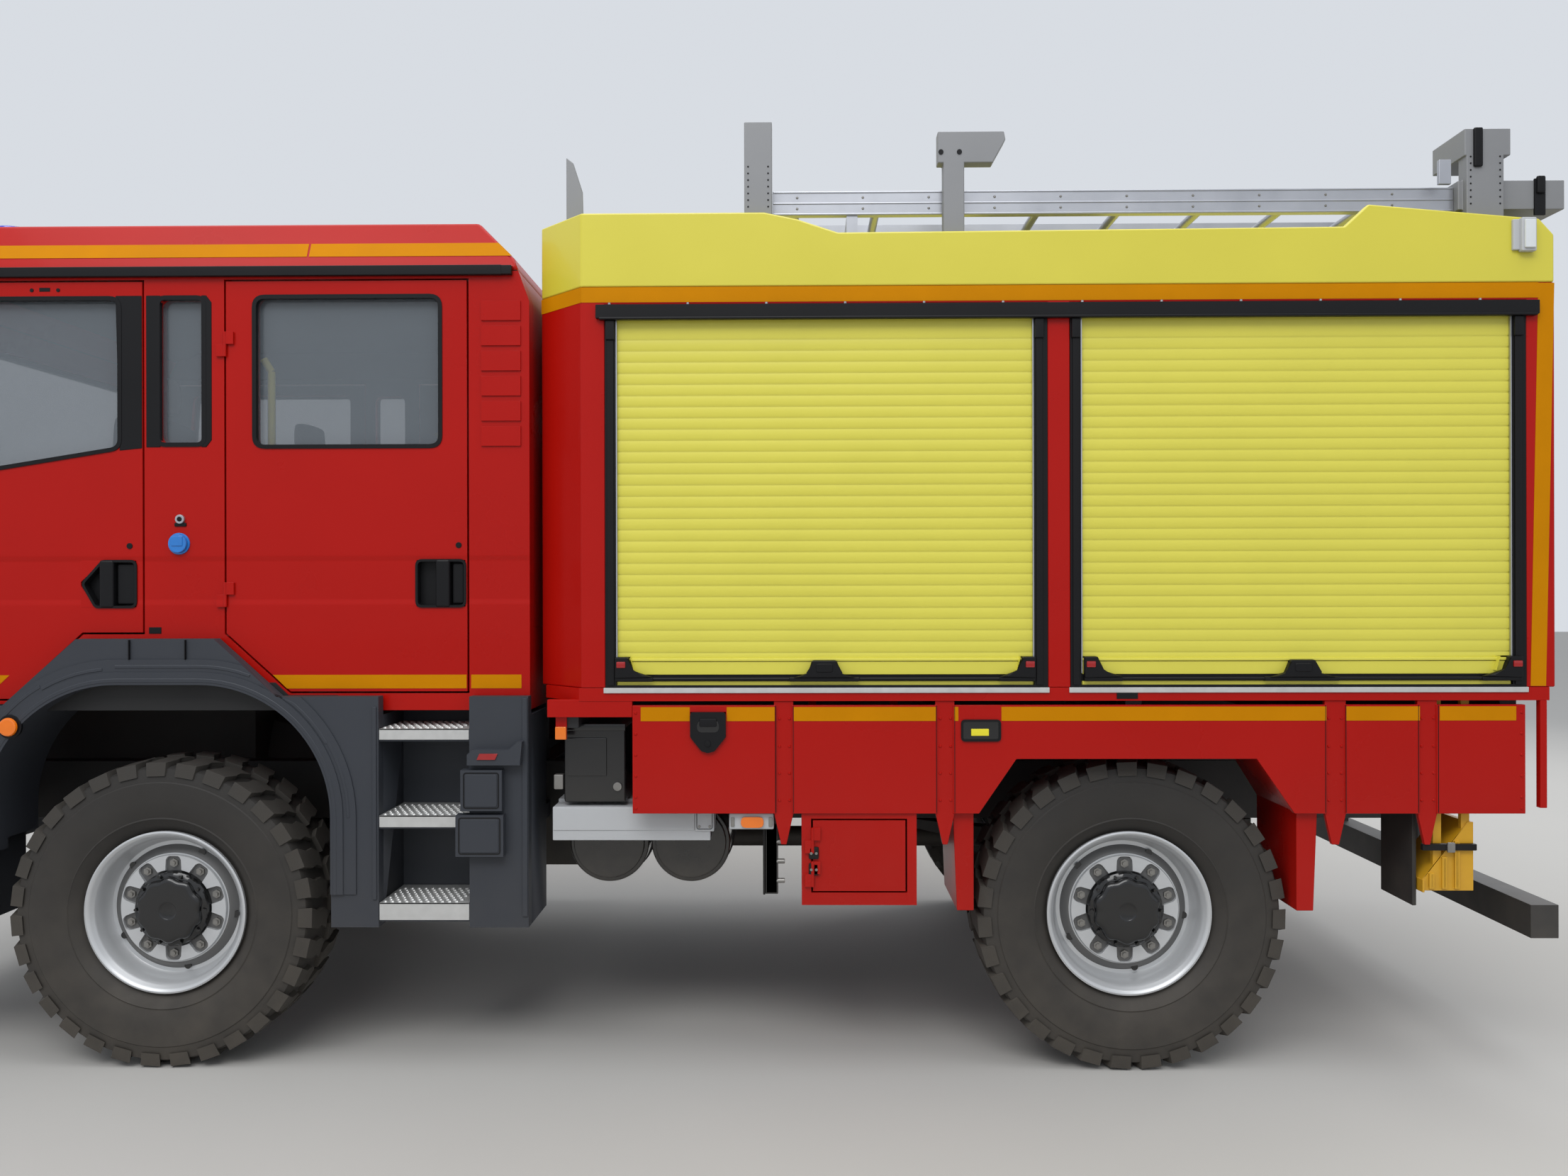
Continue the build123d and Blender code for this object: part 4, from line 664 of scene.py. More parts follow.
# %% [markdown]
# ## Refine the CAD pieces
# Each CAD piece gets an edge radius that suits how it is made: a few millimetres for pressed sheet, more
# for moulded plastic, and none where a bevel would only cost triangles, as on the thin slats. Tyres, rims
# and seats are modelled anew below, so they are left out here.

# %% Edge radii
EDGE = {
    "cab_sides": 5, "cab_roof": 14, "cab_frames": 8, "cab_floor": 4, "front_panel": 10, "front_bumper": 8,
    "body_shell": 5, "roof_band": 7, "body_floor": 4, "skirts": 2, "under_lockers": 3, "rear_mudguards": 3,
    "locker_door_left": 2, "locker_door_right": 2, "step_unit_left": 4, "step_unit_right": 4,
    "dashboard": 10, "cab_fittings": 14, "roof_gantry": 5, "ladders": 2, "air_tanks": 12,
    "battery_box": 4, "fuel_tank": 6, "silencer": 10, "wheel_chocks": 4, "shutters": 0, "frame_rails": 2,
    "cab_glass": 0, "pane_front_left": 0, "pane_front_right": 0, "pane_rear_left": 0, "pane_rear_right": 0,
}
USUAL_EDGE = 3
MADE_ANEW = ("tyre_", "rim_", "seats")
CREASED = {"cab_sides", "door_front_left", "door_front_right", "door_rear_left", "door_rear_right"}
refined = [node for node in sorted(frame["nodes"]) if not node.startswith(MADE_ANEW)]
for node in refined:
    refine(node, EDGE.get(node, USUAL_EDGE), red_side if node in CREASED else None)
print("CAD pieces refined:", len(refined), "of", len(frame["nodes"]))

# %% [markdown]
# ## Tyres
# A truck tyre is a turned carcass with rubber blocks on it. The carcass is half a section, mirrored and
# spun. A lug could be modelled straight and bent with a modifier; here its flat outline is written as a
# share of the pitch and a place across, and placed round the tyre corner by corner. The sides of the block
# come from extruding the edges of its top. Each block's outer end runs down the shoulder, as on a tyre
# for winter roads, and the two rows are shifted by half a pitch.

# %% Tyre measures
TYRE_R = 560
LUGS = 31
LUG = ((0.03, 150), (0.68, 150), (0.84, 96), (0.78, 62), (1.0, 20), (0.44, 12), (0.22, 56), (0.27, 96))
SHOULDER = 140
CARCASS = ((283, 103), (299, 105), (312, 116), (330, 134), (344, 141), (347, 145), (352, 143), (380, 151),
           (415, 156), (455, 157), (480, 156.5), (484, 153), (500, 152), (530, 146), (538, 132), (541, 90),
           (541, 0))
AXLE_OUT, AXLE_Z = 1030, 560
WHEELS = (("front_left", -1805, LEFT), ("front_right", -1805, RIGHT), ("rear_left", 1720, LEFT),
          ("rear_right", 1720, RIGHT))
print("one lug takes", round(2 * math.pi * TYRE_R / LUGS), "mm of the tyre's girth")


# %% One lug
def round_axle(centre, turn, radius, across):
    """A point in metres at a turn and a radius round the axle, and some millimetres along it."""
    return Vector((centre[0] + radius * math.sin(turn), centre[1] + across,
                   centre[2] + radius * math.cos(turn))) * MM


def add_lug(bm, centre, start, pitch, hand):
    """One rubber block, its outer end carried down the shoulder."""
    top, foot = [], []
    for share, across in LUG:
        turn = start + share * pitch
        if across > SHOULDER:
            top.append(round_axle(centre, turn, TYRE_R - 5, hand * across))
            foot.append(round_axle(centre, turn, 506, hand * 157))
        else:
            top.append(round_axle(centre, turn, TYRE_R, hand * across))
            foot.append(round_axle(centre, turn, 538, hand * across * 1.01))
    face = bm.faces.new([bm.verts.new(corner) for corner in top])
    made = bmesh.ops.extrude_edge_only(bm, edges=face.edges[:])["geom"]
    carry(made, top, foot)
    for part in [face] + [item for item in made if isinstance(item, bmesh.types.BMFace)]:
        part.material_index = 1
    blank_normals(face.verts)
    bevel(bm, face.edges[:], 2.2 * MM)


# %% Four tyres
section = list(CARCASS) + [(radius, -out) for radius, out in reversed(CARCASS[:-1])]
pitch = 2 * math.pi / LUGS
for name, axle_x, side in WHEELS:
    bm = bmesh.new()
    centre = (axle_x, side * AXLE_OUT, AXLE_Z)
    lathe(bm, section, centre, side, 136)
    for lug in range(LUGS):
        for hand, phase in ((1, 0.0), (-1, 0.5)):
            add_lug(bm, centre, (lug + phase) * pitch, pitch, hand)
    tyre = piece(f"tyre_{name}_tread", bm, f"wheel_{name}", "tyre_rubber", rubber, lug_rubber, smooth=30)
    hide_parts("tyre_" + name)
print("tyres:", len(WHEELS), "with", 2 * LUGS, "lugs each")

# %% [markdown]
# ## Wheel discs
# A pressed disc is a turned profile from the rim's lip to the hub. Round the nuts its raised face has
# scalloped cut-outs, which no spin can make. So we spin a plain ring first and then move its inner rows:
# round every nut they swing out to a radius of 29 mm about the nut, and between two nuts they come back
# in. The hub cap gets its ten soft lobes in the same way, as a small wave on the radius.

# %% Wheel measures
NUT_CIRCLE = 167.5
NUTS = 10
NUT_ROOM = 29
FACE_INNER = 141
FACE_WIDEST = 194
RIM = ((298, 125), (298, 113), (282, 109), (278, 45), (253, 25), (253, -45), (278, -65), (282, -109),
       (298, -113), (298, -125), (286, -125), (268, -70), (243, -50), (243, 14), (222, 30), (205, 40),
       (130, 40), (130, 50), (200, 54), (212, 48), (232, 30), (246, 30), (256, 40), (262, 60), (266, 98),
       (274, 106), (280, 118), (286, 124), (292, 127), (298, 125))
# A thin shell 0.6 mm over the disc face round the nuts, in a darker grey: painted shade of the recess.
RIM_SHADE = ((130, 50.6), (198, 54.6), (212, 48.6), (232, 30.6))
RAISED_FACE = ((FACE_INNER, 44), (FACE_INNER, 60), (FACE_INNER + 3, 64), (196, 64), (199, 60), (200, 46))
CAP = ((0, 101), (26, 101), (31, 104), (36, 107), (100, 108), (112, 104), (118, 96), (120, 86), (131, 82),
       (137, 76), (139, 60), (139, 44))
HUB = ((205, 40), (205, -60), (60, -60), (60, -95), (51, -95), (51, 40))
print("nuts stand", round(math.pi * 2 * NUT_CIRCLE / NUTS), "mm apart")


# %% Move rows of a spun shape
def scallop(turn):
    """Radius of the inner edge of the disc's raised face."""
    nearest = round(turn / (2 * math.pi / NUTS)) * (2 * math.pi / NUTS)
    away = abs(turn - nearest)
    reach = NUT_ROOM / NUT_CIRCLE
    if away < reach:
        aside = NUT_CIRCLE * math.sin(away)
        return NUT_CIRCLE * math.cos(away) + math.sqrt(max(0.0, NUT_ROOM ** 2 - aside ** 2))
    blend = min(1.0, (away - reach) / 0.03)
    return NUT_CIRCLE - (NUT_CIRCLE - FACE_INNER) * blend


def scalloped(radius, turn):
    """A new radius for the rows at the inner edge. The others stay."""
    if radius > FACE_INNER + 5:
        return radius
    return min(FACE_WIDEST, scallop(turn) + radius - FACE_INNER)


def lobed(radius, turn):
    """A soft wave on the cap's shoulder."""
    return radius * (1 + 0.035 * math.cos(NUTS * turn)) if 90 < radius < 135 else radius


def reshape(faces, centre, new_radius):
    """Move the corners of spun faces to a radius that depends on the turn. Give back the corners."""
    verts = list({vert for face in faces for vert in face.verts})
    for vert in verts:
        x, z = vert.co.x / MM - centre[0], vert.co.z / MM - centre[2]
        radius, turn = math.hypot(x, z), math.atan2(x, z)
        vert.co = round_axle(centre, turn, new_radius(radius, turn), vert.co.y / MM - centre[1])
    return verts


# %% [markdown]
# ## Nuts, bolts and hand holes
# A wheel nut is a hexagon on a washer, with the end of its stud in the middle. Small parts like these are
# plain cones from the cylinder operator, set round a circle by a turn.

# %% Nuts, bolts and hand holes
def axle_rod(bm, centre, side, turn, circle, out, radius, sides, paint):
    """A short bar that stands parallel to the axle, at a turn on a circle."""
    x, z = centre[0] + circle * math.sin(turn), centre[2] + circle * math.cos(turn)
    rod(bm, (x, centre[1] + side * out[0], z), (x, centre[1] + side * out[1], z), radius, sides, paint)


def nuts_and_bolts(bm, centre, side):
    """Ten nuts with washers and studs, and a bolt in each valley of the cap."""
    for nut in range(NUTS):
        turn = 2 * math.pi * nut / NUTS
        axle_rod(bm, centre, side, turn, NUT_CIRCLE, (46, 61), 16, 6, 2)
        axle_rod(bm, centre, side, turn, NUT_CIRCLE, (44, 51), 19, 20, 2)
        axle_rod(bm, centre, side, turn, NUT_CIRCLE, (58, 68), 8, 12, 2)
        axle_rod(bm, centre, side, turn + math.pi / NUTS, 128, (80, 92), 6, 6, 1)


def painted_shade_hand_holes(bm, centre, side):
    """Five black discs on the disc face near the rim: painted shade where the hand holes are."""
    for hole in range(5):
        axle_rod(bm, centre, side, 2 * math.pi * (hole + 0.35) / 5, 224, (34, 41.5), 13, 20, 1)


# %% Four wheels
for name, axle_x, side in WHEELS:
    bm = bmesh.new()
    centre = (axle_x, side * AXLE_OUT, AXLE_Z)
    lathe(bm, RIM, centre, side, 144)
    # the darker shell of painted shade round the nuts
    lathe(bm, RIM_SHADE, centre, side, 144, 4)
    reshape(lathe(bm, RAISED_FACE, centre, side, 240), centre, scalloped)
    cap = reshape(lathe(bm, CAP, centre, side, 120, 1), centre, lobed)
    bmesh.ops.remove_doubles(bm, verts=cap, dist=1e-5)  # the spun tip of the cap is 120 points in one place
    lathe(bm, HUB, centre, side, 72, 3)
    nuts_and_bolts(bm, centre, side)
    # black discs of painted shade for the hand holes
    painted_shade_hand_holes(bm, centre, side)
    wheel = piece(f"rim_{name}_disc", bm, f"wheel_{name}", "rim_silver", rim_paint, cap_black, nut_steel,
                  chassis, rim_shade, smooth=40)
    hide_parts("rim_" + name)
print("wheels:", len(WHEELS), "with", NUTS, "nuts each")

# %% [markdown]
# ## Pieces on a side
# Most details lie on the truck's flanks. These helpers take y as a distance out from the middle, so one
# table serves the left and the right side. A mirror modifier could do that too, but a door's trim has to
# ride on its own door, so each side needs objects of its own.

# %% Side helpers
def side_box(bm, side, x, y, z, width=1.5, paint=0, segments=2):
    """A block on one side, between two distances out from the middle."""
    low, high = sorted((side * y[0], side * y[1]))
    block(bm, (x[0], low, z[0]), (x[1], high, z[1]), width, paint, segments)


def side_shape(bm, side, outline, y, width=1.0, paint=0, segments=1):
    """An outline seen from the side, pulled between two distances out from the middle."""
    prism(bm, outline, side * y[0], side * y[1], "y", width, paint, segments)


def side_ring(bm, side, outline, wide, y, corner, paint=0):
    """A frame seen from the side."""
    ring(bm, outline, wide, side * y[0], side * y[1], corner, paint)


def side_rod(bm, side, x, y, z, radius, sides=16, paint=0, width=0.0, tip=None):
    """A round bar that stands straight out from a side."""
    rod(bm, (x, side * y[0], z), (x, side * y[1], z), radius, sides, paint, width, tip)


# %% [markdown]
# ## Tape and rivets
# Reflective tape is thin film. Its corners follow the skin below, which leans in above the cab's gutter, so
# the skin is given as a function of height. Film could be painted on, but a film of its own keeps a crisp
# edge at any distance. A rivet is a low cone with a broad foot: its dome is too small to need more.

# %% Tape and rivets
CAB_Y, BODY_Y = 1140, 1250
TAPE_FOOT, TAPE_TOP = -1.5, 0.9


def cab_skin(z):
    """Half width of the cab's upright sides."""
    return CAB_Y


def body_skin(z):
    """Half width of the body's upright sides."""
    return BODY_Y


def roof_skin(z):
    """Half width of the cab where its roof sides lean in."""
    return CAB_Y if z < 2930 else CAB_Y + 1.6 - 76 * (z - 2930) / 181


def tape(bm, side, outline, skin, paint=0):
    """A strip of film that starts below the skin and ends just outside it."""
    low = [Vector((x, side * (skin(z) + TAPE_FOOT), z)) * MM for x, z in outline]
    top = [Vector((x, side * (skin(z) + TAPE_TOP), z)) * MM for x, z in outline]
    first = bm.faces.new([bm.verts.new(corner) for corner in low])
    last = pull(bm, first, low, top)
    round_edges(bm, list(first.verts) + list(last.verts), 0, 1, paint)


def rivets(bm, side, spots, y, radius=7, paint=0):
    """Domed rivet heads standing on a skin."""
    for x, z in spots:
        side_rod(bm, side, x, (y - 1, y + 3), z, radius, 8, paint, tip=radius * 0.55)


print("the roof's skin leans in by", round(CAB_Y - roof_skin(3020), 1), "mm at 3.02 m")

# %% [markdown]
# ## Door handles, seals and strips
# A window sits in a black rubber seal, and the panel between the front window and the door's edge is black
# film. The handle stands in a recess: a frame, a lever and a pull, each with a large radius because they
# are moulded. On the front door the recess has two slanted corners, made by red wedges over the frame.

# %% Measures of the doors
FRONT_WINDOW = [(-2900, 2130), (-2850, 2822), (-1970, 2822), (-1970, 2261), (-2420, 2189)]
REAR_WINDOW = [(-1481, 2264), (-1481, 2824), (-786, 2824), (-786, 2264)]
MID_WINDOW = [(-1830, 2280), (-1830, 2815), (-1665, 2815), (-1665, 2280)]
HANDLE_Z = (1680, 1850)
DOOR_TRIM = (  # name, window, handle recess, bottom amber strip
    ("front", FRONT_WINDOW, (-2120, -1915), [(-3008, 1380), (-2440, 1380), (-2386, 1430), (-3008, 1430)]),
    ("rear", REAR_WINDOW, (-879, -700), [(-1358, 1380), (-696, 1380), (-696, 1430), (-1410, 1430)]),
)
print("doors on each side:", len(DOOR_TRIM))


# %% Handle
def handle_frame(x0, x1, slanted):
    """The outline of the recess round a handle."""
    z0, z1 = HANDLE_Z
    if not slanted:
        return rect((x0 + 5, x1 - 5), (z0 + 5, z1 - 5))
    return [(x0 + 12, z0 + 86), (x0 + 58, z0 + 5), (x1 - 5, z0 + 5), (x1 - 5, z1 - 5), (x0 + 84, z1 - 5)]


def handle(bm, side, x0, x1, slanted):
    """A recess plate, its frame, a lever and a pull."""
    z0, z1 = HANDLE_Z
    side_shape(bm, side, rect((x0 + 3, x1 - 3), (z0 + 3, z1 - 3)), (1105, 1109), 1, 0)
    side_ring(bm, side, handle_frame(x0, x1, slanted), 9, (1106, 1145), 16, 0)
    side_box(bm, side, (x0 + 71, x0 + 124), (1107, 1150), (z0 - 3, z1 + 3), 9, 0, 3)
    side_box(bm, side, (x0 + 128, x1 - 8), (1107, 1132), (z0 + 10, z1 - 10), 8, 0, 2)
    if slanted:
        for edge, tip, reach in ((z1 + 1, z0 + 92, 84), (z0 - 1, z0 + 80, 58)):
            wedge = [(x0 - 1, edge), (x0 + reach, edge), (x0 - 1, tip)]
            side_shape(bm, side, wedge, (1106, 1140.6), 0.5, 2)


def front_panel_marks(bm, side):
    """The black panel behind the front window, and a blank bar with two dots above the window."""
    panel = [(-1976, 2256), (-1892, 2264), (-1892, 2826), (-1990, 2826)]
    side_shape(bm, side, panel, (1136, 1142), 2, 0)
    side_shape(bm, side, rect((-2272, -2232), (2843, 2857)), (1138, 1142), 1, 0)
    for x in (-2300, -2202):
        side_rod(bm, side, x, (1138, 1142), 2848, 7, 12, 0)


# %% Door trim
for side, where in SIDES:
    for name, window, (x0, x1), strip in DOOR_TRIM:
        bm = bmesh.new()
        side_ring(bm, side, grown(window, -12), 15, (1124, 1143.5), 32, 0)
        if name == "front":
            front_panel_marks(bm, side)
        handle(bm, side, x0, x1, name == "front")
        tape(bm, side, strip, cab_skin, 1)
        side_rod(bm, side, x1 - 24, (1138, 1143), 1905, 11, 16, 0, 1.2)  # lock
        piece(f"{name}_door_trim_{where}", bm, f"{name}_{where}_door", "black_rail", black, amber, red)
print("door trims:", len(DOOR_TRIM) * len(SIDES))

# %% [markdown]
# ## Cab flanks
# Between the doors stands a pillar with a narrow window, a socket for the charger and an air coupling.
# These stay with the cab when a door opens, so they are a piece of their own.

# %% Parts of the pillar
def pillar_window(bm, side):
    """Seal of the narrow window and the black film on both sides of it."""
    side_ring(bm, side, grown(MID_WINDOW, -5), 16, (1124, 1143), 20, 0)
    side_shape(bm, side, rect((-1876, -1824), (2268, 2826)), (1134, 1142.5), 1.5, 0)
    film = [(-1672, 2268), (-1654, 2268), (-1634, 2294), (-1634, 2800), (-1654, 2826), (-1672, 2826)]
    side_shape(bm, side, film, (1134, 1142.5), 1.5, 0)
    side_box(bm, side, (-1868, -1822), (1137, 1142), (1582, 1606), 1.5, 0)  # blank black label


def sockets(bm, side):
    """An air coupling above and a round charging socket below."""
    side_rod(bm, side, -1750, (1138, 1150), 2003, 17, 24, 2, 2)
    side_rod(bm, side, -1750, (1148, 1152), 2003, 9, 16, 0, 1)
    side_box(bm, side, (-1772, -1728), (1138, 1145), (1976, 1990), 3, 0)
    side_rod(bm, side, -1755, (1136, 1146), 1913, 40, 32, 3, 2.5)
    side_rod(bm, side, -1755, (1144, 1158), 1913, 34, 32, 3, 4)
    side_box(bm, side, (-1776, -1734), (1155, 1161), (1904, 1940), 3, 3)


def cab_tape(bm, side):
    """A strip behind the rear door and two along the roof's edge."""
    tape(bm, side, rect((-679, -494), (1380, 1430)), cab_skin, 1)
    for x0, x1, tip, tail in ((-3028, -1288, 26, 0), (-1280, -530, 0, -54)):
        tape(bm, side, [(x0, 2970), (x1, 2970), (x1 + tail, 3024), (x0 + tip, 3024)], roof_skin, 1)


def grab_bar(bm, side):
    """The yellow bar inside the rear door."""
    rod(bm, (-1452, side * 1052, 2150), (-1452, side * 1052, 2560), 14, 16, 5)
    rod(bm, (-1452, side * 1052, 2560), (-1478, side * 1060, 2606), 14, 16, 5)


# %% Cab flank
SILL = [(-2380, 1300), (-2380, 1328), (-2320, 1380), (-2290, 1402), (-1400, 1402), (-1352, 1356),
        (-1170, 1356), (-1170, 1300)]
for side, where in SIDES:
    bm = bmesh.new()
    pillar_window(bm, side)
    cab_tape(bm, side)
    sockets(bm, side)
    side_box(bm, side, (-563, -524), (1138, 1161), (2893, 2927), 3, 0)  # end of the gutter
    side_shape(bm, side, SILL, (1138, 1141.4), 0.3, 4)
    grab_bar(bm, side)
    piece(f"cab_flank_{where}", bm, "cab", "black_rail", black, amber, aluminium, socket_blue, seal,
          hand_yellow)
print("cab flanks:", len(SIDES))

# %% [markdown]
# ## Front wings
# The wing's arch carries raised ribs that start and stop at steps. An array along a curve would repeat one
# rib, but these all differ. So each rib is one small section, pulled along the arch from point to point. A
# second row of points at a greater distance gives its outer edge, and both are kept under the wing's top.

# %% Path of the arch
AXLE_X = -1805
RIBS = (  # distances back from the arch's edge, shares of the way round, distance out
    (6, 26, 0.02, 0.98, 1210.6), (52, 68, 0.03, 0.14, 1207), (60, 76, 0.15, 0.33, 1207),
    (50, 66, 0.34, 0.47, 1207), (58, 74, 0.48, 0.62, 1207), (48, 64, 0.63, 0.80, 1207),
    (56, 72, 0.81, 0.97, 1207),
)
WING_TOP = ((-3000, 1325), (-2373, 1325), (-2104, 1565), (-1600, 1565), (-1367, 1355), (-456, 1355))


def arch_path(off):
    """The wheel arch's edge, moved out by a distance: up, round, across, round and down."""
    half, corner, low, turn_z = 632 + off, 480 + off, 640, 919
    path = [(AXLE_X - half, low)]
    for centre, start in ((AXLE_X - half + corner, 180), (AXLE_X + half - corner, 90)):
        for step in range(19):
            turn = math.radians(start - 5 * step)
            path.append((centre + corner * math.cos(turn), turn_z + corner * math.sin(turn)))
    path.append((AXLE_X + half, low))
    return path


def under_wing_top(point):
    """Keep a point of a rib 4 mm below the wing's upper edge."""
    for (x0, z0), (x1, z1) in zip(WING_TOP, WING_TOP[1:]):
        if x0 <= point.x <= x1:
            return Vector((point.x, min(point.y, z0 + (z1 - z0) * (point.x - x0) / (x1 - x0) - 4)))
    return point


# %% Ribs of the wing
def rib_sections(side, near, far, start, end, reach):
    """The rib's cross-section at each point of its part of the arch, in metres."""
    path_in = [under_wing_top(Vector(p)) for p in arch_path(near)]
    path_out = [under_wing_top(Vector(p)) for p in arch_path(far)]
    count = len(path_in)
    for i in range(int(start * count), min(count, int(end * count) + 1)):
        a, b = path_in[i], path_out[i]
        lip_in, lip_out = a.lerp(b, 0.22), b.lerp(a, 0.24)
        yield [Vector((p.x, side * y, p.y)) * MM
               for p, y in ((a, 1198), (a, reach - 3.5), (lip_in, reach), (lip_out, reach),
                            (b, reach - 3.5), (b, 1198))]


def wing_rib(bm, side, rib):
    """Pull the first section through all the others."""
    sections = list(rib_sections(side, *rib))
    face = bm.faces.new([bm.verts.new(corner) for corner in sections[0]])
    for here, there in zip(sections, sections[1:]):
        face = pull(bm, face, here, there)


print("ribs on each wing:", len(RIBS), "over", len(arch_path(0)), "points of the arch")

# %% [markdown]
# ## Steps
# The treads are aluminium with round nubs in staggered rows, so that a boot doesn't slip. An array
# modifier could repeat a nub, but a loop shifts every second row in one line, and all nubs stay in one
# piece. The wing's lamp is a dark ring with a domed amber lens.

# %% Treads and wing fittings
STEP_ROOMS = ((-2960, -2520), (-1000, -670))
TREADS = ((1193, 1234), (876, 920), (540, 604))
NUB_GAP = 26


def tread(bm, side, x0, x1, low, high):
    """One step: a plate with a turned-down edge and eight rows of nubs."""
    side_box(bm, side, (x0, x1), (936, 1199), (high - 1, high + 5), 1.2, 2)
    side_box(bm, side, (x0, x1), (1192, 1199), (low + 6, high + 5), 1.2, 2)
    for row in range(8):
        y = 1186 - row * NUB_GAP
        for column in range(int((x1 - x0) / NUB_GAP) - 1):
            x = x0 + 18 + (12 if row % 2 else 0) + column * NUB_GAP
            rod(bm, (x, side * y, high + 4), (x, side * y, high + 10), 9, 8, 2, tip=5.5)


def step_fittings(bm, side):
    """Reflector, two framed covers, two edge strips and the wing's amber lamp."""
    side_shape(bm, side, [(-632, 1132), (-566, 1132), (-556, 1154), (-622, 1154)], (1241, 1244), 0.6, 3)
    for x, z in (((-692, -543), (948, 1094)), ((-710, -538), (784, 933))):
        inset = rect((x[0] + 14, x[1] - 14), (z[0] + 12, z[1] - 12))
        side_ring(bm, side, inset, 4, (1236, 1239.2), 8, 1)
        side_shape(bm, side, rounded(grown(inset, -3), 8, 3), (1236, 1241), 1.2, 0)
    side_box(bm, side, (-1022, -1006), (1196, 1206), (620, 1320), 6, 0)
    side_box(bm, side, (-478, -458), (1198, 1206), (560, 1350), 6, 0)
    side_rod(bm, side, -2339, (1200, 1212), 1248, 44, 32, 1, 3)
    side_rod(bm, side, -2339, (1210, 1228), 1248, 34, 32, 4, 9)


# %% Wing trim
for side, where in SIDES:
    bm = bmesh.new()
    for rib in RIBS:
        wing_rib(bm, side, rib)
    for x in (-1905, -1700):  # seams of the wing's top cap
        side_box(bm, side, (x - 1.5, x + 1.5), (1199, 1210.5), (1490, 1562), 0.3, 1)
    side_box(bm, side, (-2352, -2326), (1198, 1204), (1235, 1262), 4, 1)
    for x0, x1 in STEP_ROOMS:
        for low, high in TREADS:
            tread(bm, side, x0 + 2, x1 - 2, low, high)
    step_fittings(bm, side)
    piece(f"wing_trim_{where}", bm, "chassis", "anthracite_plastic", anthracite, black, tread_metal,
          red_lens, amber_lens)
print("treads on each side:", len(STEP_ROOMS) * len(TREADS))

# %% [markdown]
# ## Tape on the body
# An amber band runs under the yellow top and turns with the body's front corner, which is cut at 45
# degrees. Each stretch of the band is a thin outline seen from above, pulled up to the band's height. The
# skirts' tape is broken where a strip with rivets covers a joint.

# %% Body tape
BODY_PLAN = [(-432, 1070), (-252, 1250), (3138, 1250)]
BAND_Z = (2765, 2819)
SKIRT_TAPE = ((-42, 133), (265, 436), (504, 1009), (1074, 1089), (1242, 2390), (2460, 2719), (2789, 3057))


def body_band(bm, side):
    """The amber band, cornered stretch first, then the straight one."""
    for (x0, y0), (x1, y1) in zip(BODY_PLAN, BODY_PLAN[1:]):
        lean_x, lean_y = (0, 1) if y0 == y1 else (-0.7071, 0.7071)
        corners = [(x + lean_x * off, side * (y + lean_y * off))
                   for x, y, off in ((x0, y0, -1.5), (x1, y1, -1.5), (x1, y1, 1.0), (x0, y0, 1.0))]
        prism(bm, corners, *BAND_Z, "z", 0, 1)


def body_tape(bm, side):
    """The upright strip at the tail and the strips along the skirts."""
    tape(bm, side, [(3138, 2817), (3194, 2817), (3162, 1393), (3108, 1393)], body_skin, 1)
    for x0, x1 in SKIRT_TAPE:
        tape(bm, side, rect((x0, x1), (1271, 1321)), body_skin, 1)


print("strips of tape along each skirt:", len(SKIRT_TAPE))

# %% [markdown]
# ## Rails and lift handles of the shutters
# Each shutter runs in two black rails with a bright inner edge, and ends in a bottom rail with a bar across
# it. The lift handles on the bar are moulded: an outline pulled out by 30 mm, with a 6 or 7 mm radius all
# round. The middle handle is a bridge with a thumb plate, and the outer ones slope towards the rails.

# %% Rails
BAYS = ((-130, 1360), (1526, 3047))


def bay_rails(bm, side, x0, x1):
    """Rails, bright edges and the bottom rail of one shutter."""
    for edge, turn in ((x0, 1), (x1, -1)):
        side_box(bm, side, sorted((edge, edge + 5 * turn)), (1236, 1247), (1440, 2703), 0.8, 2)
        side_box(bm, side, sorted((edge - 30 * turn, edge - 6 * turn)), (1249, 1255), (1399, 2700), 2, 0)
        side_box(bm, side, sorted((edge - 34 * turn, edge - 2 * turn)), (1250, 1262), (2630, 2700), 4, 0)
    side_box(bm, side, (x0 + 5, x1 - 5), (1234, 1247), (1484, 1494), 2.5, 3)
    side_box(bm, side, (x0 + 5, x1 - 5), (1234, 1243), (1436, 1482), 2, 3)
    side_box(bm, side, (x0 + 4, x1 - 4), (1236, 1244), (1392, 1412), 2, 3)
    side_box(bm, side, (x0 + 2, x1 - 2), (1232, 1240), (1412, 1436), 1, 0)
    rod(bm, (x0 + 10, side * 1252, 1421), (x1 - 10, side * 1252, 1421), 6, 12, 0)
    side_box(bm, side, (x0 - 44, x1 + 52), (1246, 1256), (1371, 1390), 2, 4)


# %% Lift handles
HANDLES = ((-132, 4, "left"), (487, 739, "middle"), (1233, 1363, "right"), (1534, 1672, "left"),
           (2170, 2435, "middle"), (2933, 3075, "right"))


def middle_handle(bm, side, x0, x1):
    """A bridge with a rounded thumb plate."""
    mid = (x0 + x1) / 2
    bridge = [(x0 + 14, 1426), (mid - 58, 1440), (mid - 44, 1488), (mid + 44, 1488), (mid + 58, 1440),
              (x1 - 14, 1426)]
    side_shape(bm, side, bridge, (1240, 1270), 7, 0, 2)
    side_shape(bm, side, rounded(rect((mid - 30, mid + 30), (1446, 1476)), 8, 3), (1262, 1273), 2, 0)


def end_handle(bm, side, near, far):
    """A grip at the rail that slopes down to the bar, with a red mark."""
    turn = 1 if far > near else -1
    grip = [(near, 1424), (near, 1500), (near + 48 * turn, 1500), (near + 62 * turn, 1450), (far, 1428)]
    side_shape(bm, side, grip, (1240, 1268), 6, 0, 2)
    side_box(bm, side, sorted((near + 6 * turn, near + 38 * turn)), (1264, 1272), (1462, 1484), 3, 5)


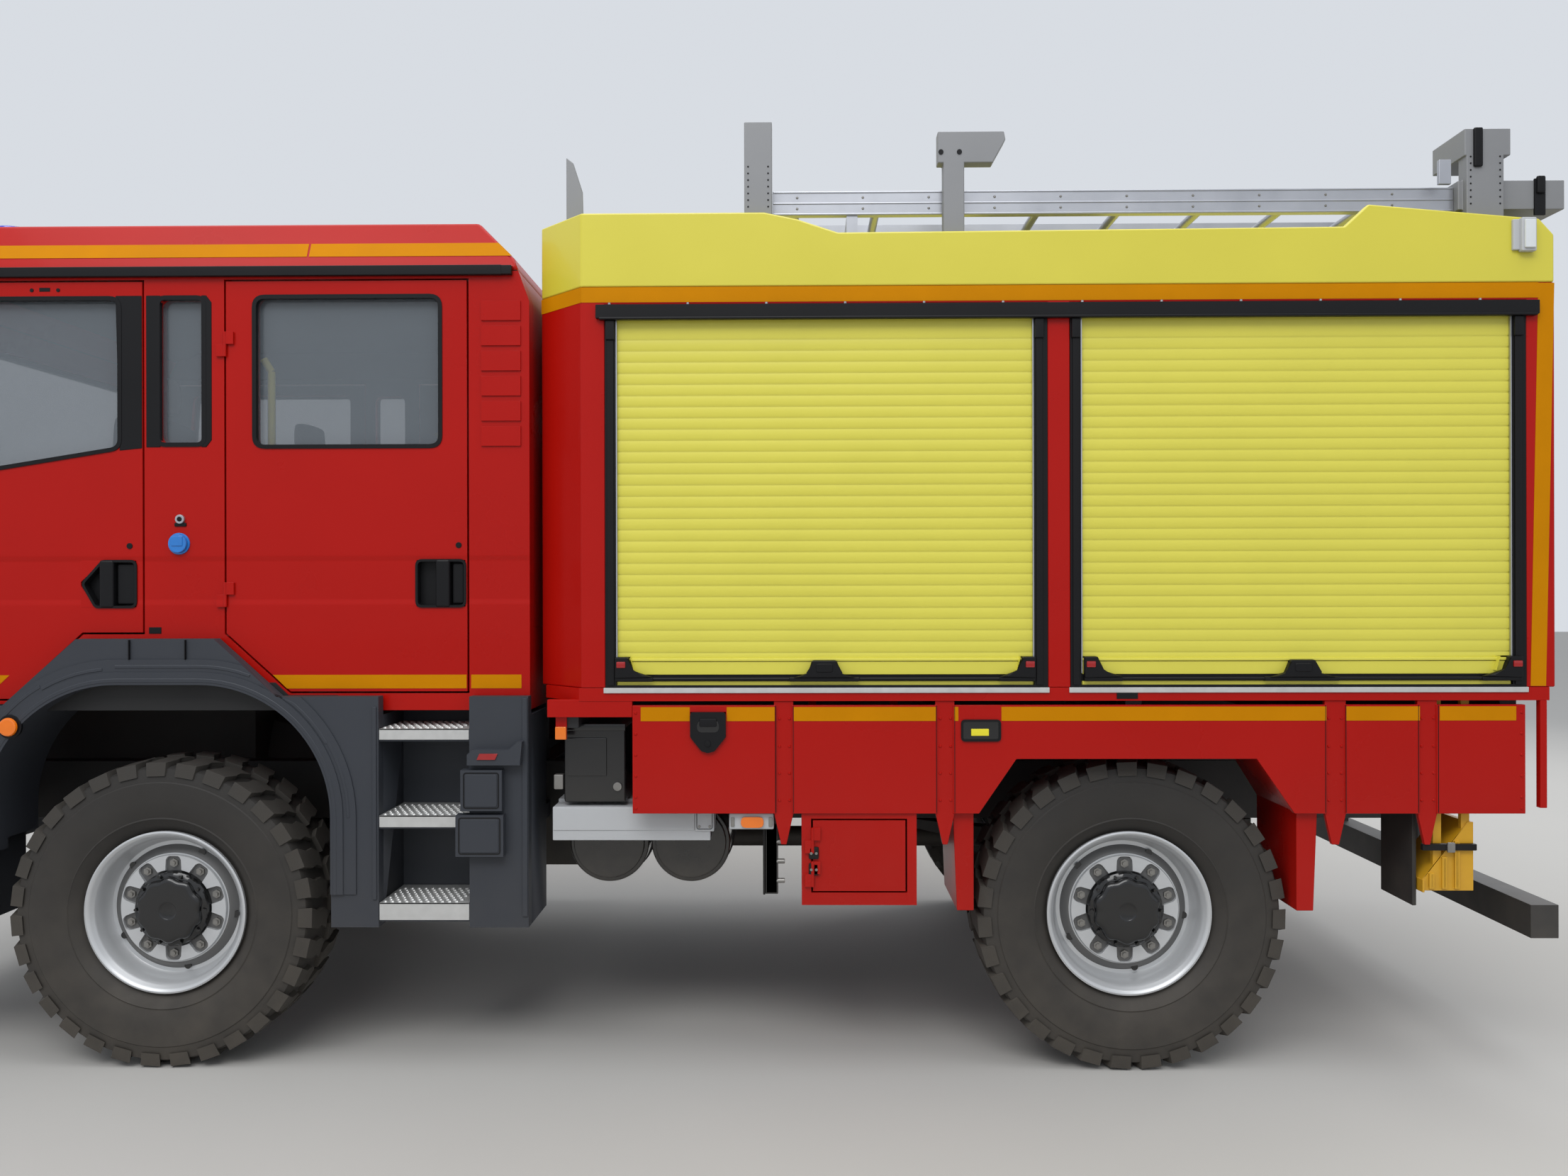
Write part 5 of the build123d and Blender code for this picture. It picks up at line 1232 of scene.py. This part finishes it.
def lift_handles(bm, side):
    """All handles of one side, each on its foot."""
    for x0, x1, kind in HANDLES:
        side_box(bm, side, (x0, x1), (1240, 1262), (1412, 1428), 5, 0)
        if kind == "middle":
            middle_handle(bm, side, x0, x1)
        elif kind == "left":
            end_handle(bm, side, x0, x1)
        else:
            end_handle(bm, side, x1, x0)


# %% Body trim
for side, where in SIDES:
    bm = bmesh.new()
    body_band(bm, side)
    body_tape(bm, side)
    for x0, x1 in BAYS:
        bay_rails(bm, side, x0, x1)
    lift_handles(bm, side)
    side_box(bm, side, (-186, 3126), (1250, 1272), (2700, 2709), 3, 0)  # drip edge of the gutter
    for x in range(-150, 3120, 280):
        rod(bm, (x, side * 1256, 2756), (x, side * 1256, 2762), 5, 8, 2)
    side_box(bm, side, (1650, 1725), (1249, 1253), (1349, 1372), 1.5, 0)  # blank label
    piece(f"body_trim_{where}", bm, "chassis", "black_rail", black, amber, aluminium, slat_yellow,
          tread_metal, red_lens)
print("shutters on each side:", len(BAYS), "with", len(HANDLES), "lift handles")

# %% [markdown]
# ## Skirts
# The skirt panels are riveted to the frame behind them, so the rivets stand in columns, four to each. A
# hinged cover closes the filler, and behind the next opening lies a dark pocket with a yellow catch.

# %% Rivets and covers
STRIPS = ((444, 497), (1016, 1071), (2392, 2454), (2719, 2779))
RIVET_Z = (1279, 1180, 1084, 988)
END_RIVET_Z = (1300, 1225, 1150, 1075, 1000, 960)


def skirt_rivets(bm, side):
    """Two columns on each strip with a dark joint on both sides, and a column at each end."""
    for x0, x1 in STRIPS:
        rivets(bm, side, [(x, z) for x in (x0 + 9, x1 - 9) for z in RIVET_Z], 1244, 6.5)
        side_box(bm, side, (x0 - 6, x0 - 4), (1247, 1251.5), (945, 1326), 0.3, 1)
        side_box(bm, side, (x1 + 4, x1 + 6), (1247, 1251.5), (945, 1326), 0.3, 1)
    for x in (-60, 3076):
        rivets(bm, side, [(x, z) for z in END_RIVET_Z], 1250, 6.5)


def filler_cover(bm, side):
    """A black shield with a hinge plate, a grip and a screw."""
    shield = [(135, 1304), (262, 1304), (262, 1215), (222, 1165), (198, 1158), (175, 1165), (135, 1215)]
    side_shape(bm, side, rounded(shield, 14, 4), (1248, 1262), 5, 1, 2)
    side_shape(bm, side, rounded(rect((160, 238), (1232, 1272)), 16, 4), (1260, 1263), 0.6, 2)
    side_box(bm, side, (168, 230), (1258, 1268), (1252, 1282), 6, 1)
    side_rod(bm, side, 198, (1261, 1266), 1192, 11, 16, 1, 1.5)


def pocket(bm, side):
    """The frame, the dark floor and the catch of the small opening."""
    side_ring(bm, side, rect((1106, 1232), (1206, 1268)), 8, (1249, 1256), 8, 1)
    side_shape(bm, side, rect((1104, 1234), (1204, 1270)), (1249, 1251.5), 0.4, 2)
    side_box(bm, side, (1134, 1197), (1250, 1255), (1218, 1243), 3, 3)


# %% Skirt trim
for side, where in SIDES:
    bm = bmesh.new()
    skirt_rivets(bm, side)
    filler_cover(bm, side)
    pocket(bm, side)
    piece(f"skirt_trim_{where}", bm, "chassis", "red_paint", red, black, gloss_black, hand_yellow)
print("rivets on each skirt:", 2 * len(STRIPS) * len(RIVET_Z) + 2 * len(END_RIVET_Z))

# %% [markdown]
# ## Below the skirts
# Under the body hang the air tanks and the battery box on the left, and the fuel tank on the right. Tank
# straps are bands: round the air tanks they are a chain of short bars, round the square tank three flat
# blocks. A torus would make the round strap too, but it has no operator in bmesh, and a chain of 40 bars
# looks the same under dust.

# %% Left underbody
AIR_TANKS = ((-187, 148), (118, 148))
AIR_TANK_Z = 797


def battery_box_trim(bm, side):
    """Labels and catches of the box, and a grey plate with its four screws."""
    side_box(bm, side, (-337, -110), (1148, 1158), (1225, 1252), 5, 2)
    side_box(bm, side, (-325, -180), (1149, 1156), (1060, 1200), 10, 2)
    side_rod(bm, side, -140, (1148, 1160), 1022, 16, 16, 3, 2)
    side_box(bm, side, (-375, -340), (1120, 1150), (1010, 1065), 5, 3)
    side_box(bm, side, (-373, 142), (1169, 1173), (866, 948), 2, 4)
    side_box(bm, side, (144, 214), (1090, 1176), (862, 950), 4, 4)
    side_ring(bm, side, rect((152, 206), (872, 940)), 2, (1175, 1177.5), 8, 0)
    for x in (160, 198):
        for z in (880, 932):
            side_rod(bm, side, x, (1174, 1179), z, 5, 8, 3)


def strap(bm, side, x, y, radius):
    """A chain of 40 short bars round a tank."""
    around = []
    for step in range(41):
        turn = math.radians(9 * step)
        around.append((x + radius * math.sin(turn), side * y, AIR_TANK_Z + radius * math.cos(turn)))
    for here, there in zip(around, around[1:]):
        rod(bm, here, there, 5, 6, 0)


def air_tank_trim(bm, side):
    """Straps, the raised end and the drain plug of each air tank."""
    for x, radius in AIR_TANKS:
        for y in (700, 900):
            strap(bm, side, x, y, radius + 2)
        side_rod(bm, side, x, (1049, 1064), AIR_TANK_Z, radius - 16, 40, 2, 9)
        plug_z = AIR_TANK_Z - radius
        rod(bm, (x, side * 900, plug_z - 12), (x, side * 900, plug_z + 8), 12, 8, 3, 2)


# %% Right underbody
def fuel_tank_trim(bm, side):
    """Two straps round the square tank, and its cap."""
    for x in (-250, 330):
        side_box(bm, side, (x, x + 36), (1148, 1155), (690, 1060), 2, 3)
        side_box(bm, side, (x, x + 36), (620, 1052), (1148, 1155), 2, 3)
        side_box(bm, side, (x, x + 36), (620, 1052), (595, 602), 2, 3)
    rod(bm, (-60, side * 1080, 1130), (-60, side * 1080, 1176), 52, 28, 0, 6)


# %% Marker, bracket, locker hinge and chock
def side_marker(bm, side):
    """An amber lens in a grey housing, and its two screws."""
    side_box(bm, side, (271, 432), (1196, 1228), (880, 938), 6, 4)
    side_shape(bm, side, rounded(rect((314, 395), (888, 926)), 16, 5), (1226, 1237), 4, 1, 2)
    for x in (284, 420):
        side_box(bm, side, (x - 7, x + 7), (1226, 1232), (890, 924), 3, 3)


def bracket_and_hinge(bm, side):
    """The flap's bracket with three bolts across it, and two hinge plates of the locker."""
    side_box(bm, side, (392, 400), (1150, 1215), (643, 940), 2, 0)
    side_box(bm, side, (400, 446), (1190, 1204), (643, 900), 5, 0)
    for z in (690, 760, 830):
        rod(bm, (440, side * 1196, z), (470, side * 1196, z), 9, 10, 3, 2)
    for z in (742, 800):
        side_box(bm, side, (556, 592), (1238, 1250), (z - 22, z + 22), 5, 0)
        for x in (565, 583):
            side_rod(bm, side, x, (1249, 1254), z, 5, 8, 3)


def chock(bm, side):
    """Ribs on the wheel chock, its strap with a buckle, and its stop."""
    for x in (2775, 2820, 2865):
        top = 700 + (x - 2745) * 205 / 160
        side_box(bm, side, (x - 9, x + 9), (1212, 1224), (668, top - 14), 6, 5, 2)
    side_box(bm, side, (2738, 2930), (1214, 1232), (806, 830), 3, 0)
    side_box(bm, side, (2822, 2850), (1230, 1240), (800, 836), 4, 3)
    side_box(bm, side, (2742, 2750), (1016, 1222), (655, 700), 2, 5)


# %% Underbody trim
for side, where in SIDES:
    bm = bmesh.new()
    if side == LEFT:
        battery_box_trim(bm, side)
        air_tank_trim(bm, side)
    else:
        fuel_tank_trim(bm, side)
    side_marker(bm, side)
    bracket_and_hinge(bm, side)
    chock(bm, side)
    piece(f"underbody_trim_{where}", bm, "chassis", "black_rail", black, amber_lens, enamel, nut_steel,
          grey_sheet, amber_plastic)
print("underbody trims:", len(SIDES))

# %% [markdown]
# ## Seats
# Cushions swell. A cloth simulation could blow them up, but a seat hides behind tinted glass, and a formula
# is quicker and the same every time. We subdivide a box, pull its corners and edges in so that every face
# is crowned, press a channel along the stitched line, and let one subdivision level smooth the rest.

# %% Cushion
SEAT_ROWS = (("front", -2000, 1540, (-740, 740)), ("rear", -640, 1360, (-780, -261, 261, 780)))


def swollen(point, swell, channels, thin):
    """Pull a point of a 2 m cube in towards the edges, and a little more along a channel."""
    u, v, w = point
    on_face = abs(w) > 0.99 or abs(u) > 0.99
    in_channel = any(abs(abs(v) - at) < 0.01 for at in channels)
    pulled = [a * math.sqrt(1 - swell * (b * b + c * c) / 2 + swell ** 2 * b * b * c * c / 3)
              for a, b, c in ((u, v, w), (v, w, u), (w, u, v))]
    pulled[thin] *= 0.88 if in_channel and on_face else 1
    return pulled


def cushion(name, low, high, swell, paint, channels=()):
    """A crowned pad: a box whose corners and edges pull in, so that its faces swell between them."""
    half = [(b - a) / 2 for a, b in zip(low, high)]
    middle = Vector([(a + b) / 2 for a, b in zip(low, high)])
    thin = 0 if half[0] < half[2] else 2
    bm = bmesh.new()
    bmesh.ops.create_cube(bm, size=2)
    bmesh.ops.subdivide_edges(bm, edges=bm.edges[:], cuts=8, use_grid_fill=True)
    for vert in bm.verts:
        pulled = swollen(vert.co, swell, channels, thin)
        vert.co = (middle + Vector([p * h for p, h in zip(pulled, half)])) * MM
    pad = piece(name, bm, "cab", "seat_fabric", paint, smooth=180)
    soft = pad.modifiers.new("soft_form", "SUBSURF")
    soft.levels = soft.render_levels = 1
    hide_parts("seats")


# %% Six seats
STITCH = (1 / 3,)
for row, back, floor_z, middles in SEAT_ROWS:
    for number, y in enumerate(middles, 1):
        seat = f"{row}_{number}"
        cushion(f"seat_squab_{seat}", (back - 480, y - 256, floor_z + 160),
                (back - 4, y + 256, floor_z + 298), 0.3, fabric, STITCH)
        cushion(f"seat_back_{seat}", (back - 108, y - 250, floor_z + 285),
                (back - 2, y + 250, floor_z + 898), 0.22, fabric, STITCH)
        cushion(f"headrest_{seat}", (back - 89, y - 143, floor_z + 915),
                (back - 21, y + 143, floor_z + 1068), 0.35, pale_fabric)
print("seats:", sum(len(row[3]) for row in SEAT_ROWS))

# %% [markdown]
# ## Seat frames
# Under each cushion stands a plain box with a pan on it, and two posts carry the headrest. They don't
# swell, so they are one hard piece for all the seats.

# %% Frames
bm = bmesh.new()
for row, back, floor_z, middles in SEAT_ROWS:
    for y in middles:
        block(bm, (back - 440, y - 220, floor_z + 2), (back - 30, y + 220, floor_z + 150), 12, 0)
        block(bm, (back - 470, y - 245, floor_z + 140), (back - 12, y + 245, floor_z + 168), 8, 0)
        for post in (-60, 60):
            rod(bm, (back - 55, y + post, floor_z + 870), (back - 55, y + post, floor_z + 940), 7, 12, 1)
frames = piece("seat_frames", bm, "cab", "interior_plastic", interior, nut_steel)
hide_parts("seats")
print("seat frames:", len(frames.data.polygons), "faces")

# %% [markdown]
# ## Front of the cab
# The cab's face leans back above 1.9 m. A small function gives its X for each height, so the windscreen's
# seal, the cowl and the wipers all lie on the same slope. The grille's mesh is a row of thin bars in front
# of a plate, because a real mesh would cost many triangles for slots this narrow.

# %% The leaning face
def face_x(z):
    """X of the cab's face at a height."""
    return -3215 + max(0, z - 1900) * 130 / 960


def face_strip(bm, z, y, out=4, deep=34, paint=0, width=5):
    """A bar that lies along the leaning face, from z[0] up to z[1] and y[0] across to y[1]."""
    outline = [(face_x(z[0]) - out, z[0]), (face_x(z[1]) - out, z[1]),
               (face_x(z[1]) + deep, z[1]), (face_x(z[0]) + deep, z[0])]
    prism(bm, outline, y[0], y[1], "y", width, paint, 2)


def wiper(bm, pivot):
    """A pivot, an arm and a blade on the windscreen."""
    tip = pivot + (300 if pivot < 600 else -300)
    rod(bm, (face_x(1900) - 8, pivot, 1900), (face_x(1900) - 26, pivot, 1900), 22, 16, 0, 3)
    rod(bm, (face_x(1902) - 22, pivot, 1902), (face_x(2080) - 14, tip, 2080), 8, 10, 0)
    rod(bm, (face_x(2010) - 10, tip - 330, 2010), (face_x(2130) - 10, tip + 300, 2130), 6, 8, 0)


def grille_mesh(bm):
    """A plate and upright bars behind each of the four slots."""
    for row in range(4):
        z = 1240 + row * 90
        block(bm, (-3246, -699, z + 1), (-3239, 699, z + 49), 1, 0)
        for y in range(-680, 690, 20):
            block(bm, (-3252, y - 2, z + 1), (-3245, y + 2, z + 49), 0.5, 0, 1)


print("the windscreen leans back by", round(face_x(2820) - face_x(1940)), "mm")


# %% Mirrors and beacons
def mirrors(bm, side):
    """Two glasses, and two boots where the mirror arms meet the pillar."""
    for z in ((2336, 2640), (2076, 2312)):
        side_box(bm, side, (-3068, -3059), (1248, 1422), z, 8, 1, 3)
    for z in (2640, 2120):
        side_box(bm, side, (-3106, -3054), (1138, 1158), (z, z + 60), 8, 0)


def beacon(bm, side):
    """A low blue lens on a black foot."""
    rod(bm, (-2655, side * 700, 3109), (-2655, side * 700, 3132), 94, 40, 0, 4)
    rod(bm, (-2655, side * 700, 3130), (-2655, side * 700, 3206), 84, 40, 2, 20)


# %% Cab front
SCREEN_SEAL = (((1928, 1972), (-1052, 1052)), ((2788, 2832), (-1052, 1052)), ((1940, 2820), (-1052, -1008)),
               ((1940, 2820), (1008, 1052)))
bm = bmesh.new()
for z, y in SCREEN_SEAL:
    face_strip(bm, z, y)
face_strip(bm, (1858, 1924), (-1070, 1070), 6, 10)  # cowl
for pivot in (-620, 60, 700):
    wiper(bm, pivot)
grille_mesh(bm)
for side in (LEFT, RIGHT):
    mirrors(bm, side)
    beacon(bm, side)
front = piece("cab_front_trim", bm, "cab", "black_rail", black, mirror_glass, blue_lens)
print("cab front:", len(front.data.polygons), "faces")

# %% [markdown]
# ## Headlamps
# Each lamp is built from behind: a black plate, a frame, two bright reflectors, a clear lens over each and
# an amber strip below. The frame faces forwards, so the same ring helper works along X.

# %% Headlamps
bm = bmesh.new()
for side in (LEFT, RIGHT):
    low, high = sorted((side * 804, side * 1036))
    block(bm, (-3232, low, 704), (-3226, high, 886), 1, 0)
    low, high = sorted((side * 814, side * 1026))
    ring(bm, [(low, 714), (high, 714), (high, 876), (low, 876)], 9, -3267, -3232, 14, 0, "x")
    for y in (868, 966):
        rod(bm, (-3232, side * y, 806), (-3254, side * y, 806), 48, 40, 1, 3)
        rod(bm, (-3252, side * y, 806), (-3264, side * y, 806), 42, 40, 2, 5)
    low, high = sorted((side * 822, side * 1012))
    block(bm, (-3262, low, 722), (-3240, high, 746), 5, 3)
lamps = piece("headlamps", bm, "chassis", "lamp_lens", gloss_black, aluminium, clear_lens, amber_lens)
print("headlamps:", len(lamps.data.polygons), "faces")

# %% [markdown]
# ## Tail
# The rear lamps are one housing with four lenses of different colours. The under-run bar ends in red and
# white tape. On a flat bar a row of thin plates is enough, and each takes its own paint.

# %% Lamps and tape of the tail
TAIL = 3195
LENSES = ((706, 786, 3), (796, 966, 2), (976, 1056, 4), (1066, 1192, 2))
STRIPES = 6


def tail_lamps(bm, side):
    """A housing with four lenses, and a round lamp high on the corner."""
    side_box(bm, side, (TAIL, TAIL + 26), (700, 1198), (1402, 1518), 8, 0, 3)
    for y0, y1, paint in LENSES:
        side_box(bm, side, (TAIL + 24, TAIL + 31), (y0, y1), (1412, 1508), 4, paint, 2)
    side_box(bm, side, (TAIL - 4, TAIL + 7), (622, 652), (1392, 2745), 2, 0)  # guide rail
    rod(bm, (TAIL, side * 1150, 2880), (TAIL + 12, side * 1150, 2880), 34, 28, 0, 3)
    rod(bm, (TAIL + 10, side * 1150, 2880), (TAIL + 20, side * 1150, 2880), 28, 28, 2, 5)


def bar_tape(bm, side):
    """Red and white stripes at one end of the under-run bar."""
    for stripe in range(STRIPES):
        y0 = 700 + stripe * 78
        side_box(bm, side, (3249, 3251), (y0, y0 + 77), (486, 594), 0.4, 5 if stripe % 2 else 6, 1)


# %% Tail trim
bm = bmesh.new()
for side in (LEFT, RIGHT):
    tail_lamps(bm, side)
    bar_tape(bm, side)
block(bm, (TAIL - 4, -652, 2738), (TAIL + 12, 652, 2762), 3, 0)
block(bm, (TAIL - 6, -616, 1396), (TAIL + 8, 616, 1416), 3, 0)
bridge = [(-120, 1414), (-56, 1430), (-44, 1474), (44, 1474), (56, 1430), (120, 1414)]
prism(bm, bridge, TAIL - 8, TAIL + 14, "x", 4, 0, 2)
block(bm, (TAIL - 1, -1246, 2766), (TAIL + 1.2, 1246, 2818), 0.3, 1)
tail = piece("tail_trim", bm, "chassis", "lamp_lens", black, amber, red_lens, amber_lens, clear_lens, red,
             white_tape)
print("tail:", len(tail.data.polygons), "faces")

# %% [markdown]
# ## Roof fittings
# On the roof lies a ladder whose rail has long grooves. Seen from the side they read as three dark ridges,
# so three thin strips do the work of a finely cut section. Rows of rivets hold the boxes' edges.

# %% Ladder rail and rivets
def ladder_rail(bm):
    """Three ridges and two rows of rivets on the rail."""
    for z in (3101, 3140, 3180):
        side_box(bm, LEFT, (433, 2888), (1158, 1162.5), (z, z + 6), 1.5, 0)
    for x in range(520, 2880, 239):
        rivets(bm, LEFT, [(x, 3124), (x, 3164)], 1160, 5.5, 1)


def box_rivets(bm):
    """Two columns of rivets on each box of the roof gantry."""
    for x0, x1, z0, z1 in ((330, 430, 3115, 3260), (2908, 3040, 3110, 3280)):
        for z in range(z0, z1, 24):
            rivets(bm, LEFT, [(x0 + 14, z), (x1 - 14, z)], 1214, 4.5, 2)


# %% Roof trim
bm = bmesh.new()
ladder_rail(bm)
box_rivets(bm)
for x in (1036, 1102):
    side_rod(bm, LEFT, x, (1212, 1218), 3307, 9, 16, 2)
FITTINGS = (  # x, y and z from and to, edge width, paint
    ((3160, 3200), (1186, 1196), (3074, 3206), 3, 2), ((3165, 3196), (1190, 1206), (3150, 3214), 8, 2),
    ((2806, 2850), (1206, 1222), (3178, 3266), 3, 0), ((2930, 2962), (1212, 1226), (3240, 3380), 6, 2),
    ((3044, 3070), (1248, 1262), (2932, 3040), 3, 3), ((3066, 3120), (1250, 1276), (2924, 3044), 6, 3),
    ((3074, 3112), (1274, 1284), (2934, 3034), 4, 4),
)
for x, y, z, width, paint in FITTINGS:
    side_box(bm, LEFT, x, y, z, width, paint)
roof = piece("roof_trim", bm, "chassis", "ladder_aluminium", aluminium, nut_steel, black, grey_sheet,
             clear_lens)
print("roof:", len(roof.data.polygons), "faces")

# %% [markdown]
# ## Floor
# One big face is enough to catch the shadow that makes the truck stand.

# %% Floor
bm = bmesh.new()
bmesh.ops.create_grid(bm, x_segments=1, y_segments=1, size=40)
floor_mesh = bpy.data.meshes.new("floor")
bm.to_mesh(floor_mesh)
bm.free()
floor_mesh.materials.append(finish("floor_grey", (176, 174, 170), 0.85, tone=0.05, patch=0.6))
floor = bpy.data.objects.new("floor", floor_mesh)
bpy.context.scene.collection.objects.link(floor)
floor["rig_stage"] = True
print("floor:", len(floor_mesh.polygons), "face")

# %% [markdown]
# ## Light
# The truck was seen under an open, cloudy sky. An evenly bright world gives that soft light from all
# sides, and three large area lamps give the paint some form: one overhead, a strong one on the side we look
# at, and a weak one that lifts the tail off the background.

# %% World and lamps
SKY, SKY_STRENGTH = (0.86, 0.9, 0.96, 1), 0.8
LIGHTS = (  # name, place, aim, width, height, watts
    ("sky_box", (0, -1, 10), (0, 0, 1.5), 14, 9, 600),
    ("side_box", (-2, -10, 11), (0, 0, 1.4), 12, 5, 960),
    ("rear_box", (9, 6, 7), (0, 0, 1.6), 6, 4, 300),
)
world = bpy.data.worlds.new("studio")
bpy.context.scene.world = world
world.use_nodes = True
background = world.node_tree.nodes["Background"]
background.inputs["Color"].default_value = SKY
background.inputs["Strength"].default_value = SKY_STRENGTH
for name, place, aim, width, height, watts in LIGHTS:
    lamp = bpy.data.lights.new(name, "AREA")
    lamp.shape = "RECTANGLE"
    lamp.size, lamp.size_y, lamp.energy = width, height, watts
    thing = bpy.data.objects.new(name, lamp)
    bpy.context.scene.collection.objects.link(thing)
    thing.location = place
    thing.rotation_euler = (Vector(aim) - Vector(place)).to_track_quat("-Z", "Y").to_euler()
print("lamps:", len(LIGHTS))

# %% [markdown]
# ## Camera
# The camera looks at the truck from the photograph's viewing angle. Its place, its lens and its small turn
# and tilt were solved from points whose size is known, such as the wheels. We build its matrix from three
# directions: right, up and backwards, which is how Blender's camera looks along its own minus Z.

# %% Camera
PLACE, LENS, YAW, ROLL = (0.522, -5.443, 1.745), 27.03, 0.708, -0.133
camera_data = bpy.data.cameras.new("photo_camera")
camera = bpy.data.objects.new("photo_camera", camera_data)
bpy.context.scene.collection.objects.link(camera)
bpy.context.scene.camera = camera
camera_data.sensor_width = 36
camera_data.lens = LENS
yaw, roll = math.radians(YAW), math.radians(ROLL)
ahead = Vector((-math.sin(yaw), math.cos(yaw), 0))
flat_right = ahead.cross(Vector((0, 0, 1)))
flat_up = flat_right.cross(ahead)
right = math.cos(roll) * flat_right + math.sin(roll) * flat_up
up = -math.sin(roll) * flat_right + math.cos(roll) * flat_up
turn = Matrix((right, up, -ahead)).transposed().to_4x4()
camera.matrix_world = Matrix.Translation(PLACE) @ turn
bpy.context.scene.view_settings.view_transform = "Standard"
print("camera height in metres:", PLACE[2])

# %% [markdown]
# ## Size and finish
# Last we print the size of the box round everything visible. It should agree with the CAD model's box
# within a
# few millimetres: a piece that sticks out would show up here first.

# %% Size and finish
low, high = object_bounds()
print("visible size in metres:", [round(b - a, 3) for a, b in zip(low, high)])
